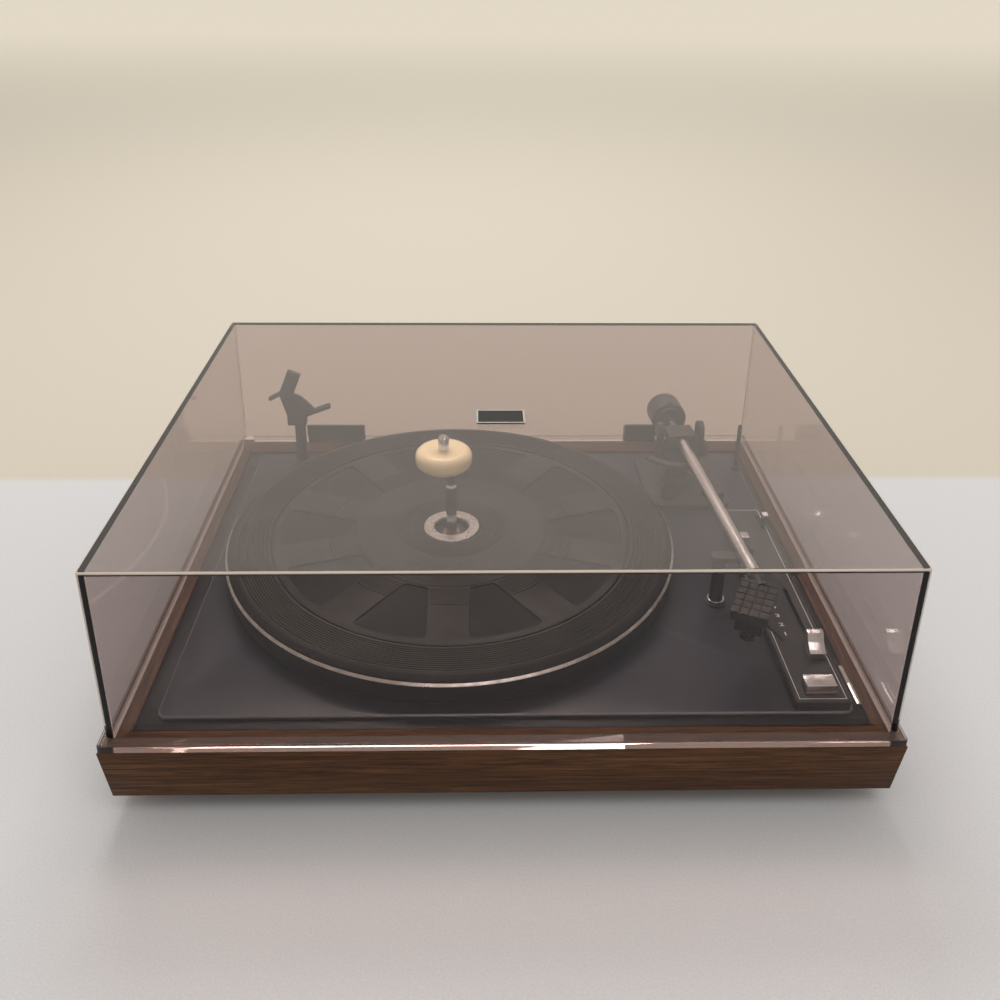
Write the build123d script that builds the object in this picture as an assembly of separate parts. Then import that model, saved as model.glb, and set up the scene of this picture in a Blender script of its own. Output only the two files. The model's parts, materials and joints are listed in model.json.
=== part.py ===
"""Automatic belt-drive record player with a wooden plinth and a hinged smoked dust cover.

Millimetres, +X right, +Y back, +Z up. Everything is laid out about the plinth's centre with
z = 0 on the surface that the feet stand on, and save() then shifts each node along Y so that
the origin lies under the centre of the whole object, hinges included.
"""
import os
from math import acos, atan2, cos, degrees, hypot, radians, sin

from build123d import *

# ---------------------------------------------------------------- driving dimensions
FOOT_H = 14.0                # clear height below the plinth
FOOT_X, FOOT_FRONT, FOOT_BACK = 176.0, -132.0, 128.0
FOOT_R = 14.0
BASE_T = 3.0                 # base panel
PLINTH_W = 428.4             # outside width at the top edge
PLINTH_FRONT = -173.6        # front face at the top edge
PLINTH_BACK = 173.6
PLINTH_LEAN = 3.1            # how far the front and side faces lean in at the bottom
PLINTH_Z0 = FOOT_H
PLINTH_Z1 = FOOT_H + 33.0
WELL_W = 401.0               # opening inside the wooden frame
WELL_FRONT = -156.2
WELL_BACK = 152.8

RAIL_Z1 = PLINTH_Z1 - 2.0    # black border round the deck plate
RAIL_T = 8.0
DECK_LEFT, DECK_RIGHT = -191.0, 195.5
DECK_FRONT, DECK_BACK = -147.5, 147.0
DECK_TOP = PLINTH_Z1 + 1.0
DECK_T = 1.5
DECK_CORNER = 7.0

PLATTER_X, PLATTER_Y = -32.6, 9.4
PLATTER_R = 151.0
PLATTER_Z0 = DECK_TOP + 1.2
PLATTER_Z1 = DECK_TOP + 14.0
MAT_TOP = PLATTER_Z1 + 4.5
HUB_BORE_R = 6.05
POST_R = 6.0
SPINDLE_R = 3.6
FIT = 0.05                   # radial running clearance
GAP = 0.3                    # clearance between pieces that move past each other

SHELF_Z = MAT_TOP + 46.5     # where a stack of records or the 45 adaptor sits on the spindle
SPINDLE_TOP = MAT_TOP + 69.5
SPINDLE_OFFSET = 4.7         # upper part of the spindle stands this far to the left

COVER_W, COVER_D = 422.4, 339.8
COVER_Y = 2.7
COVER_TOP = 155.2
COVER_T = 3.5
FLANGE_W, FLANGE_D = 428.4, 347.2
FLANGE_Z0 = PLINTH_Z1 + GAP
FLANGE_Z1 = PLINTH_Z1 + 4.3

HINGE_Y, HINGE_Z = 180.0, 53.0
HINGE_R = 4.0
HINGE_W = 47.0
HINGE_X = 133.5
ROW_SHIFT = -(PLINTH_FRONT + HINGE_Y + HINGE_R) / 2

PIVOT_X, PIVOT_Y, ARM_Z = 140.1, 102.0, 86.0
STYLUS_X, STYLUS_Y = 141.5, -110.0
HEAD_ANGLE = -25.6           # the headshell's turn about the vertical, front towards -Y
HEAD_W, HEAD_FRONT, HEAD_REAR = 21.5, -7.0, 28.0
HEAD_T = 6.0
TUBE_R = 4.0

PANEL_LEFT, PANEL_RIGHT = 161.5, 193.0
PANEL_FRONT, PANEL_BACK = -145.5, 52.0
PANEL_TOP = DECK_TOP + 5.5
PANEL_T = 2.0

REST_X, REST_Y = 138.0, -48.6
SUPPORT_X, SUPPORT_Y = -156.7, 141.8
PULLEY_RATIO = 9.0
RIM_R = 98.0
PULLEY_R = RIM_R / PULLEY_RATIO
PULLEY_ANGLE, PULLEY_DIST = 215.0, 122.0
MOTOR_X = PLATTER_X + PULLEY_DIST * cos(radians(PULLEY_ANGLE))
MOTOR_Y = PLATTER_Y + PULLEY_DIST * sin(radians(PULLEY_ANGLE))
GEAR_X, GEAR_Y = PLATTER_X + 18.0, PLATTER_Y + 60.0

parts = {}


# ---------------------------------------------------------------- helpers
def block(x0, x1, y0, y1, z0, z1):
    """A box between two corners."""
    return Pos((x0 + x1) / 2, (y0 + y1) / 2, (z0 + z1) / 2) * Box(x1 - x0, y1 - y0, z1 - z0)


def rounded(x0, x1, y0, y1, z0, z1, radius):
    """A box whose upright corners are rounded."""
    face = Pos((x0 + x1) / 2, (y0 + y1) / 2, z0) * RectangleRounded(x1 - x0, y1 - y0, radius)
    return extrude(face, z1 - z0)


def disc(x, y, z0, z1, radius):
    """An upright cylinder."""
    return Pos(x, y, (z0 + z1) / 2) * Cylinder(radius, z1 - z0)


def ring(x, y, z0, z1, outer, inner):
    """An upright tube."""
    return disc(x, y, z0, z1, outer) - disc(x, y, z0 - 1, z1 + 1, inner)


def rod(x0, x1, y, z, radius):
    """A cylinder along X."""
    return Pos((x0 + x1) / 2, y, z) * Rot(0, 90, 0) * Cylinder(radius, x1 - x0)


def rod_y(x, y0, y1, z, radius):
    """A cylinder along Y."""
    return Pos(x, (y0 + y1) / 2, z) * Rot(90, 0, 0) * Cylinder(radius, y1 - y0)


def turned(points, x=0.0, y=0.0):
    """A solid turned about the vertical through x, y from (radius, height) points."""
    return Pos(x, y, 0) * revolve(Plane.XZ * Polygon(*points, align=None), Axis.Z)


def on_circle(x, y, radius, angle):
    """The point at an angle in degrees on a circle."""
    return x + radius * cos(radians(angle)), y + radius * sin(radians(angle))


def coil(x, y, z0, z1, radius, wire, turns):
    """An upright coil spring whose wire stays between z0 and z1."""
    height = z1 - z0 - 2 * wire
    path = Helix(pitch=height / turns, height=height, radius=radius)
    section = Plane(path @ 0, z_dir=path % 0) * Circle(wire)
    return Pos(x, y, z0 + wire) * sweep(section, path=path, is_frenet=True)


def group(solids):
    """Several separate solids that share one node."""
    return Compound([piece.solid() for piece in solids])


# ---------------------------------------------------------------- plinth
SCREW_SPOTS = [(side * FOOT_X, y) for side in (-1, 1) for y in (FOOT_FRONT, FOOT_BACK)]
FOOT_RECESS = 3.0            # depth of the screw head inside the foot
FOOT_SCREW_R, FOOT_HEAD_R, FOOT_SCREW_TOP = 1.8, 4.0, 30.0
CORNER_BLOCK = 24.0
VENTS, VENT_LENGTH, VENT_WIDTH, VENT_PITCH = 6, 70.0, 5.0, 14.0
VENT_X, VENT_Y = 70.0, -40.0
HINGE_PLATE_T = 3.0
HINGE_HEAD_R, HINGE_HEAD_T, HINGE_SHANK_R, HINGE_SHANK = 2.6, 1.2, 1.3, 12.0
HINGE_SCREW_DX, HINGE_SCREW_Z = 15.0, (32.0, 40.0)


def hinge_screw(x, z):
    """A slotted flat-headed screw with its head on the hinge plate and its shank in the board."""
    plate = PLINTH_BACK + HINGE_PLATE_T
    head = rod_y(x, plate, plate + HINGE_HEAD_T, z, HINGE_HEAD_R)
    slot = block(x - 0.4, x + 0.4, plate + 0.8, plate + 2, z - 2.0, z + 2.0)
    return head - slot + rod_y(x, PLINTH_BACK - HINGE_SHANK, plate, z, HINGE_SHANK_R)


HINGE_SCREWS = [
    hinge_screw(side * HINGE_X + dx, z)
    for side in (-1, 1) for dx in (-HINGE_SCREW_DX, HINGE_SCREW_DX) for z in HINGE_SCREW_Z
]
GLANDS = [(62.0, 5.0), (88.0, 4.0)]
GLAND_Z = 30.0


def plinth_boards():
    """Four boards, mitred from the outer to the inner corners of one leaning frame."""
    half_top, half_bottom = PLINTH_W / 2, PLINTH_W / 2 - PLINTH_LEAN
    top = [(-half_top, PLINTH_FRONT), (half_top, PLINTH_FRONT),
           (half_top, PLINTH_BACK), (-half_top, PLINTH_BACK)]
    front = PLINTH_FRONT + PLINTH_LEAN
    bottom = [(-half_bottom, front), (half_bottom, front),
              (half_bottom, PLINTH_BACK), (-half_bottom, PLINTH_BACK)]
    lower = Pos(0, 0, PLINTH_Z0) * Polygon(*bottom, align=None)
    upper = Pos(0, 0, PLINTH_Z1) * Polygon(*top, align=None)
    frame = loft([lower, upper])
    frame -= block(-WELL_W / 2, WELL_W / 2, WELL_FRONT, WELL_BACK, 0, 100)
    well = [(-WELL_W / 2, WELL_FRONT), (WELL_W / 2, WELL_FRONT),
            (WELL_W / 2, WELL_BACK), (-WELL_W / 2, WELL_BACK)]
    for number, name in enumerate(("front", "right", "back", "left")):
        after = (number + 1) % 4
        wedge = Polygon(well[number], reach(well[number], top[number]),
                        reach(well[after], top[after]), well[after], align=None)
        board = frame & (Pos(0, 0, PLINTH_Z0 - 1) * extrude(wedge, 50))
        if name == "back":
            for screw in HINGE_SCREWS:
                board -= screw
            for x, radius in GLANDS:
                board -= rod_y(x, WELL_BACK - 1, PLINTH_BACK + 1, GLAND_Z, radius)
        parts["plinth_" + name + "_board"] = board


def reach(inner, outer):
    """The point three mitre lengths out from an inner corner through its outer corner."""
    return tuple(a + 3 * (b - a) for a, b in zip(inner, outer))


def foot_screw(x, y):
    """Pan-head screw that holds a foot and the base panel to a corner block."""
    head = disc(x, y, FOOT_RECESS, FOOT_RECESS + 2.0, FOOT_HEAD_R)
    return head + disc(x, y, FOOT_RECESS + 1.5, FOOT_SCREW_TOP, FOOT_SCREW_R)


def underside():
    """Corner blocks, vented base panel and four screwed rubber feet."""
    panel_top = PLINTH_Z0 + BASE_T
    panel = block(-WELL_W / 2, WELL_W / 2, WELL_FRONT, WELL_BACK, PLINTH_Z0, panel_top)
    for number in range(VENTS):
        spot = Pos(VENT_X + VENT_PITCH * number, VENT_Y, PLINTH_Z0)
        panel -= extrude(spot * SlotOverall(VENT_LENGTH, VENT_WIDTH, rotation=90), BASE_T)
    blocks, feet, screws = [], [], []
    for x, y in SCREW_SPOTS:
        screw = foot_screw(x, y)
        x_wall = WELL_W / 2 if x > 0 else -WELL_W / 2
        y_wall = WELL_BACK if y > 0 else WELL_FRONT
        x_in = x - CORNER_BLOCK / 2 if x > 0 else x + CORNER_BLOCK / 2
        y_in = y - CORNER_BLOCK / 2 if y > 0 else y + CORNER_BLOCK / 2
        wood = block(min(x_in, x_wall), max(x_in, x_wall), min(y_in, y_wall), max(y_in, y_wall),
                     panel_top, RAIL_Z1 - RAIL_T)
        blocks.append(wood - screw)
        foot = turned([
            (0, 0), (FOOT_R - 3.0, 0), (FOOT_R - 1.5, 1.5), (FOOT_R, PLINTH_Z0), (0, PLINTH_Z0),
        ], x, y)
        feet.append(foot - disc(x, y, -1, FOOT_RECESS, FOOT_HEAD_R + 1.0) - screw)
        screws.append(screw)
        panel -= screw
    parts["base_panel"] = panel
    parts["corner_blocks"] = group(blocks)
    parts["rubber_feet"] = group(feet)
    parts["foot_screws"] = group(screws)


# ---------------------------------------------------------------- deck
SPRING_SPOTS = [(x, y) for x in (-184.0, 187.0) for y in (-104.0, 104.0)]
SPRING_R = 4.4
SPRING_WIRE, SPRING_TURNS = 0.6, 3
STUD_R, STUD_DROP, NUT_R, NUT_T = 1.5, 8.0, 4.0, 3.5
CUP_DEPTH, CUP_CLEAR = 4.5, 1.4    # recess in the rails round each spring
RAIL_W = 20.0
DECK_EDGE = 1.6              # rounding and inner wall of the deck plate's skirt
BEARING_SHANK_R = 8.0
PULLEY_CLEAR = 2.5           # gap round the pulley where it passes the deck plate
GEAR_POST_R, GEAR_POST_Z0 = 3.0, 36.0


def deck():
    """Black border rails, the steel deck plate floating on springs, and its studs."""
    z0, width = RAIL_Z1 - RAIL_T, RAIL_W
    x0, x1, y0, y1 = -WELL_W / 2, WELL_W / 2, WELL_FRONT, WELL_BACK
    rails = [
        block(x0, x1, y0, y0 + width, z0, RAIL_Z1),
        block(x0, x1, y1 - width, y1, z0, RAIL_Z1),
        block(x0, x0 + width, y0 + width, y1 - width, z0, RAIL_Z1),
        block(x1 - width, x1, y0 + width, y1 - width, z0, RAIL_Z1),
    ]
    plate = rounded(DECK_LEFT, DECK_RIGHT, DECK_FRONT, DECK_BACK, RAIL_Z1, DECK_TOP, DECK_CORNER)
    plate = fillet(plate.faces().sort_by(Axis.Z)[-1].edges(), DECK_EDGE)
    plate -= rounded(DECK_LEFT + DECK_EDGE, DECK_RIGHT - DECK_EDGE,
                     DECK_FRONT + DECK_EDGE, DECK_BACK - DECK_EDGE,
                     RAIL_Z1 - 1, DECK_TOP - DECK_T, DECK_CORNER - DECK_EDGE)
    plate -= disc(PLATTER_X, PLATTER_Y, RAIL_Z1, DECK_TOP + 1, BEARING_SHANK_R + FIT)
    plate -= disc(MOTOR_X, MOTOR_Y, RAIL_Z1, DECK_TOP + 1, PULLEY_R + PULLEY_CLEAR)
    plate += disc(GEAR_X, GEAR_Y, GEAR_POST_Z0, DECK_TOP - DECK_T + 0.2, GEAR_POST_R)
    studs, springs = [], []
    for x, y in SPRING_SPOTS:
        stud = disc(x, y, z0 - STUD_DROP, DECK_TOP - DECK_T, STUD_R) + disc(x, y, z0 - NUT_T, z0, NUT_R)
        cup = disc(x, y, RAIL_Z1 - CUP_DEPTH, RAIL_Z1 + 1, SPRING_R + CUP_CLEAR)
        studs.append(stud)
        springs.append(coil(x, y, RAIL_Z1 - CUP_DEPTH + 0.1, DECK_TOP - DECK_T - 0.1,
                            SPRING_R, SPRING_WIRE, SPRING_TURNS))
        rails = [rail - cup - stud for rail in rails]
    parts["deck_rails"] = group(rails)
    parts["deck_plate"] = plate
    parts["mounting_studs"] = group(studs)
    parts["deck_springs"] = group(springs)


# ---------------------------------------------------------------- platter and its bearing
POCKETS = 10
POCKET_IN, POCKET_OUT = 66.5, 115.5
SPOKE_HALF = 12.6
POCKET_DEPTH = 1.3
POCKET_TURN = -72.0          # where the first field lies at rest
POCKET_CORNER = 4.0
MAT_R, MAT_HOLE_R, MAT_SHOULDER_R = 147.0, 19.6, 141.0
TRIM_IN, TRIM_H = 147.2, 2.6
HUB_RING_R, HUB_RING_IN = 19.2, 11.5
WEB_T, PLATTER_WALL, RIM_WALL = 3.0, 5.0, 4.0
HUB_Z0, HUB_R, HUB_FLARE_R = DECK_TOP + 4.8, 15.0, 17.0
RIM_Z0 = DECK_TOP + 2.5


def mat_pocket():
    """One sunk field of the mat between two parallel-sided spokes, centred on +X."""
    wedge = Pos(0, 0, MAT_TOP - POCKET_DEPTH) * (Circle(POCKET_OUT) - Circle(POCKET_IN))
    half = 180.0 / POCKETS
    shift = SPOKE_HALF / sin(radians(half))
    far = 200.0
    corner = Polygon((shift, 0), (shift + far, far * sin(radians(half)) / cos(radians(half))),
                     (shift + far, -far * sin(radians(half)) / cos(radians(half))), align=None)
    field = wedge & (Pos(0, 0, MAT_TOP - POCKET_DEPTH) * corner)
    solid = extrude(field, POCKET_DEPTH + 1)
    return fillet(solid.edges().filter_by(Axis.Z), POCKET_CORNER)


def platter():
    """Cast platter with its belt rim, polished ring, rubber mat and hub ring."""
    x, y = PLATTER_X, PLATTER_Y
    web = PLATTER_Z1 - WEB_T
    wall_in, rim_in = PLATTER_R - PLATTER_WALL, RIM_R - RIM_WALL
    parts["platter"] = turned([
        (HUB_BORE_R, HUB_Z0), (HUB_R, HUB_Z0), (HUB_FLARE_R, web), (rim_in, web), (rim_in, RIM_Z0),
        (RIM_R, RIM_Z0), (RIM_R, web), (wall_in, web), (wall_in + 1, PLATTER_Z0),
        (PLATTER_R - 1.5, PLATTER_Z0), (PLATTER_R - 0.7, PLATTER_Z0 + 0.8), (PLATTER_R, PLATTER_Z1),
        (HUB_BORE_R, PLATTER_Z1),
    ], x, y)
    parts["platter_trim_ring"] = turned([
        (TRIM_IN, PLATTER_Z1), (PLATTER_R, PLATTER_Z1),
        (TRIM_IN + 1.0, PLATTER_Z1 + TRIM_H), (TRIM_IN, PLATTER_Z1 + TRIM_H),
    ], x, y)
    mat = turned([
        (MAT_HOLE_R, PLATTER_Z1), (MAT_R, PLATTER_Z1), (MAT_R, PLATTER_Z1 + 3.0),
        (MAT_SHOULDER_R, MAT_TOP), (MAT_HOLE_R, MAT_TOP),
    ], x, y)
    pocket = mat_pocket()
    for number in range(POCKETS):
        mat -= Pos(x, y, 0) * Rot(0, 0, 360 / POCKETS * number + POCKET_TURN) * pocket
    parts["platter_mat"] = mat
    parts["hub_ring"] = turned([
        (HUB_RING_IN, PLATTER_Z1), (HUB_RING_R, PLATTER_Z1), (HUB_RING_R, MAT_TOP + 0.2),
        (HUB_RING_R - 0.6, MAT_TOP + 0.8), (HUB_RING_IN + 0.8, MAT_TOP + 0.8), (HUB_RING_IN, MAT_TOP),
    ], x, y)


BEARING_Z0 = 32.0
BALLS, BALL_R, BALL_TRACK = 8, 1.25, 9.6
THRUST_R, THRUST_T = 14.0, 2.0
CAGE_R, CAGE_IN, CAGE_HALF = 12.0, 7.2, 0.6
SPINDLE_Z0 = 40.0
SPINDLE_TIP = 2.6
NECK_DROP, NECK_R, NECK_TAPER = 15.0, 2.6, 1.5
SHELF_T = 3.0
SLIT_HALF, SLIT_RISE = 0.6, 15.0
ADAPTOR_R, ADAPTOR_H, ADAPTOR_EDGE = 19.0, 13.0, 5.4
SHORT_X, SHORT_R = 198.0, 2.1
SHORT_FRONT, SHORT_BACK = -142.5, -111.0
SHORT_BAND = (15.1, 16.9)    # a slightly thicker band, measured from the front end
SHORT_BORE_R, SHORT_BORE = 1.1, 4.5


def bearing():
    """Hollow bearing post on the deck with its ball race."""
    x, y = PLATTER_X, PLATTER_Y
    bore = SPINDLE_R + FIT
    parts["bearing_post"] = turned([
        (bore, BEARING_Z0), (BEARING_SHANK_R, BEARING_Z0), (BEARING_SHANK_R, DECK_TOP),
        (THRUST_R, DECK_TOP), (THRUST_R, DECK_TOP + THRUST_T), (POST_R, DECK_TOP + THRUST_T),
        (POST_R, PLATTER_Z1 + 0.4), (bore, PLATTER_Z1 + 0.4),
    ], x, y)
    ball_z = DECK_TOP + THRUST_T + BALL_R
    cage = ring(x, y, ball_z - CAGE_HALF, ball_z + CAGE_HALF, CAGE_R, CAGE_IN)
    balls = []
    for number in range(BALLS):
        bx, by = on_circle(x, y, BALL_TRACK, 360 / BALLS * number)
        balls.append(Pos(bx, by, ball_z) * Sphere(BALL_R))
        cage -= disc(bx, by, ball_z - 1, ball_z + 1, BALL_R + 0.1)
    parts["thrust_race"] = group([cage] + balls)


def spindles():
    """Tall stacking spindle with its shelf, the 45 adaptor on it, and the short spindle."""
    x, y = PLATTER_X, PLATTER_Y
    upper_x = x - SPINDLE_OFFSET
    neck_z = SHELF_Z - NECK_DROP
    lower = turned([
        (0, SPINDLE_Z0), (SPINDLE_TIP, SPINDLE_Z0), (SPINDLE_R, SPINDLE_Z0 + 1),
        (SPINDLE_R, neck_z), (NECK_R, neck_z + NECK_TAPER), (0, neck_z + NECK_TAPER),
    ], x, y)
    neck = disc(x, y, neck_z, SHELF_Z - 2.0, NECK_R)
    shelf = SlotOverall(SPINDLE_OFFSET + 2 * SPINDLE_R, 2 * SPINDLE_R)
    shelf = Pos(x - SPINDLE_OFFSET / 2, y, SHELF_Z - SHELF_T) * shelf
    upper = turned([
        (0, SHELF_Z - 1), (SPINDLE_R, SHELF_Z - 1), (SPINDLE_R, SPINDLE_TOP - 1.4),
        (SPINDLE_R - 1.4, SPINDLE_TOP), (0, SPINDLE_TOP),
    ], upper_x, y)
    spindle = lower + neck + extrude(shelf, SHELF_T) + upper
    spindle -= block(upper_x - SLIT_HALF, upper_x + SLIT_HALF, y - 5, y,
                     SHELF_Z + SLIT_RISE, SPINDLE_TOP + 1)
    parts["multi_play_spindle"] = spindle
    z0 = SHELF_Z + 0.2
    z1 = z0 + ADAPTOR_H
    puck = disc(upper_x, y, z0, z1, ADAPTOR_R)
    puck = fillet(puck.edges().filter_by(GeomType.CIRCLE), ADAPTOR_EDGE)
    parts["adaptor_45"] = puck - disc(upper_x, y, z0 - 1, z1 + 1, SPINDLE_R + 0.08)
    short_z = RAIL_Z1 + 2.6
    short = rod_y(SHORT_X, SHORT_FRONT, SHORT_BACK, short_z, SHORT_R)
    short += rod_y(SHORT_X, SHORT_FRONT + SHORT_BAND[0], SHORT_FRONT + SHORT_BAND[1], short_z, SHORT_R + 0.2)
    bore = rod_y(SHORT_X, SHORT_FRONT - 1, SHORT_FRONT + SHORT_BORE, short_z, SHORT_BORE_R)
    parts["short_spindle"] = short - bore


def belt_core(rim, pulley, z0, z1):
    """The solid enclosed by a belt stretched round the rim and the pulley."""
    spread = degrees(acos((rim - pulley) / PULLEY_DIST))
    corners = [
        on_circle(PLATTER_X, PLATTER_Y, rim, PULLEY_ANGLE + spread),
        on_circle(MOTOR_X, MOTOR_Y, pulley, PULLEY_ANGLE + spread),
        on_circle(MOTOR_X, MOTOR_Y, pulley, PULLEY_ANGLE - spread),
        on_circle(PLATTER_X, PLATTER_Y, rim, PULLEY_ANGLE - spread),
    ]
    between = Pos(0, 0, z0) * extrude(Polygon(*corners, align=None), z1 - z0, dir=(0, 0, 1))
    return disc(PLATTER_X, PLATTER_Y, z0, z1, rim) + disc(MOTOR_X, MOTOR_Y, z0, z1, pulley) + between


MOTOR_Z0, MOTOR_Z1, MOTOR_R, MOTOR_SHAFT_R = 21.0, 40.0, 33.0, 1.6
MOTOR_SPIGOT_R = 9.0
EAR_DIST, EAR_R, EAR_T, EAR_ANGLES = 38.0, 6.0, 2.0, (35, 155, 275)
GROMMET_R, GROMMET_IN = 5.5, 2.0
PULLEY_LIP = 1.2
BELT_SLACK, BELT_T = 0.15, 0.6
PULLEY_FOOT = DECK_TOP + 2.3
GEAR_TEETH, GEAR_TIP, GEAR_ROOT = 60, 36.0, 33.4
GEAR_Z0, GEAR_T = 38.5, 4.0
GEAR_HOLES, GEAR_HOLE_RING, GEAR_HOLE_R = 5, 20.0, 6.0
GEAR_BOSS_R, GEAR_BOSS_T = 6.0, 2.0


def drive():
    """Motor on grommets under the deck, pulley, flat belt and the change-cycle gear."""
    under = DECK_TOP - DECK_T
    body = disc(MOTOR_X, MOTOR_Y, MOTOR_Z0, MOTOR_Z1, MOTOR_R)
    body = fillet(body.edges().filter_by(GeomType.CIRCLE), 2.5)
    body += disc(MOTOR_X, MOTOR_Y, MOTOR_Z1 - 1, MOTOR_Z1 + 3, MOTOR_SPIGOT_R)
    ears, grommets = [], []
    for angle in EAR_ANGLES:
        gx, gy = on_circle(MOTOR_X, MOTOR_Y, EAR_DIST, angle)
        middle = Pos((gx + MOTOR_X) / 2, (gy + MOTOR_Y) / 2, MOTOR_Z1 - EAR_T / 2)
        ears.append(disc(gx, gy, MOTOR_Z1 - EAR_T, MOTOR_Z1, EAR_R))
        ears.append(middle * Rot(0, 0, angle) * Box(EAR_DIST, 2 * EAR_R, EAR_T))
        grommets.append(ring(gx, gy, MOTOR_Z1, under, GROMMET_R, GROMMET_IN))
    for ear in ears:
        body += ear
    body -= disc(MOTOR_X, MOTOR_Y, 30, 44, MOTOR_SHAFT_R + FIT)
    parts["motor"] = body
    parts["motor_grommets"] = group(grommets)
    lip = PULLEY_R + PULLEY_LIP
    parts["motor_pulley"] = turned([
        (0, 31.0), (MOTOR_SHAFT_R, 31.0), (MOTOR_SHAFT_R, PULLEY_FOOT),
        (lip, PULLEY_FOOT), (lip, DECK_TOP + 3.1),
        (PULLEY_R, DECK_TOP + 3.6), (PULLEY_R, DECK_TOP + 8.9), (lip, DECK_TOP + 9.4),
        (lip, DECK_TOP + 10.2), (0, DECK_TOP + 10.2),
    ], MOTOR_X, MOTOR_Y)
    z0, z1 = DECK_TOP + 3.9, DECK_TOP + 8.5
    belt = belt_core(RIM_R + BELT_SLACK + BELT_T, PULLEY_R + BELT_SLACK + BELT_T, z0, z1)
    parts["drive_belt"] = belt - belt_core(RIM_R + BELT_SLACK, PULLEY_R + BELT_SLACK, z0 - 1, z1 + 1)
    tooth = ((0.0, GEAR_ROOT), (0.25, GEAR_ROOT), (0.4, GEAR_TIP), (0.75, GEAR_TIP), (0.9, GEAR_ROOT))
    outline = []
    for number in range(GEAR_TEETH):
        for part_of, radius in tooth:
            outline.append(on_circle(0, 0, radius, 360 / GEAR_TEETH * (number + part_of)))
    gear = extrude(Polygon(*outline, align=None), GEAR_T) - Cylinder(GEAR_POST_R + FIT, 20)
    for number in range(GEAR_HOLES):
        hx, hy = on_circle(0, 0, GEAR_HOLE_RING, 360 / GEAR_HOLES * number)
        gear -= Pos(hx, hy, 0) * Cylinder(GEAR_HOLE_R, 20)
    boss = Cylinder(GEAR_BOSS_R, GEAR_BOSS_T) - Cylinder(GEAR_POST_R + FIT, GEAR_BOSS_T)
    gear += Pos(0, 0, GEAR_T) * boss
    parts["cycle_gear"] = Pos(GEAR_X, GEAR_Y, GEAR_Z0) * gear


# ---------------------------------------------------------------- control strip
SLOT_X = 184.2
KNOB_Y = -104.0
SLIDE_TRAVEL = 57.0
BUTTON = (168.6, 185.6, -139.7, -130.1)
SPEED_X, SPEED_Y = 170.0, 8.0
SPEED_TRAVEL = 10.0
CUE_X, CUE_Y, CUE_Z = 189.0, 31.0, DECK_TOP + 3.6
CUE_LEAN = 18.0
SLOT_W = 2.6                 # the two slots that the slider's and the lever's blades run in
BLADE_HALF = 0.9
KNOB_HALF = 4.8
BUTTON_FOOT = DECK_TOP + 2.3
DISH_R, DISH_DEPTH = 38.6, 0.6    # hollow in the button's top
BUTTON_TOP = DECK_TOP + 12.0
BUTTON_LEDGE, BUTTON_LEDGE_T = 1.2, 0.9


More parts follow.
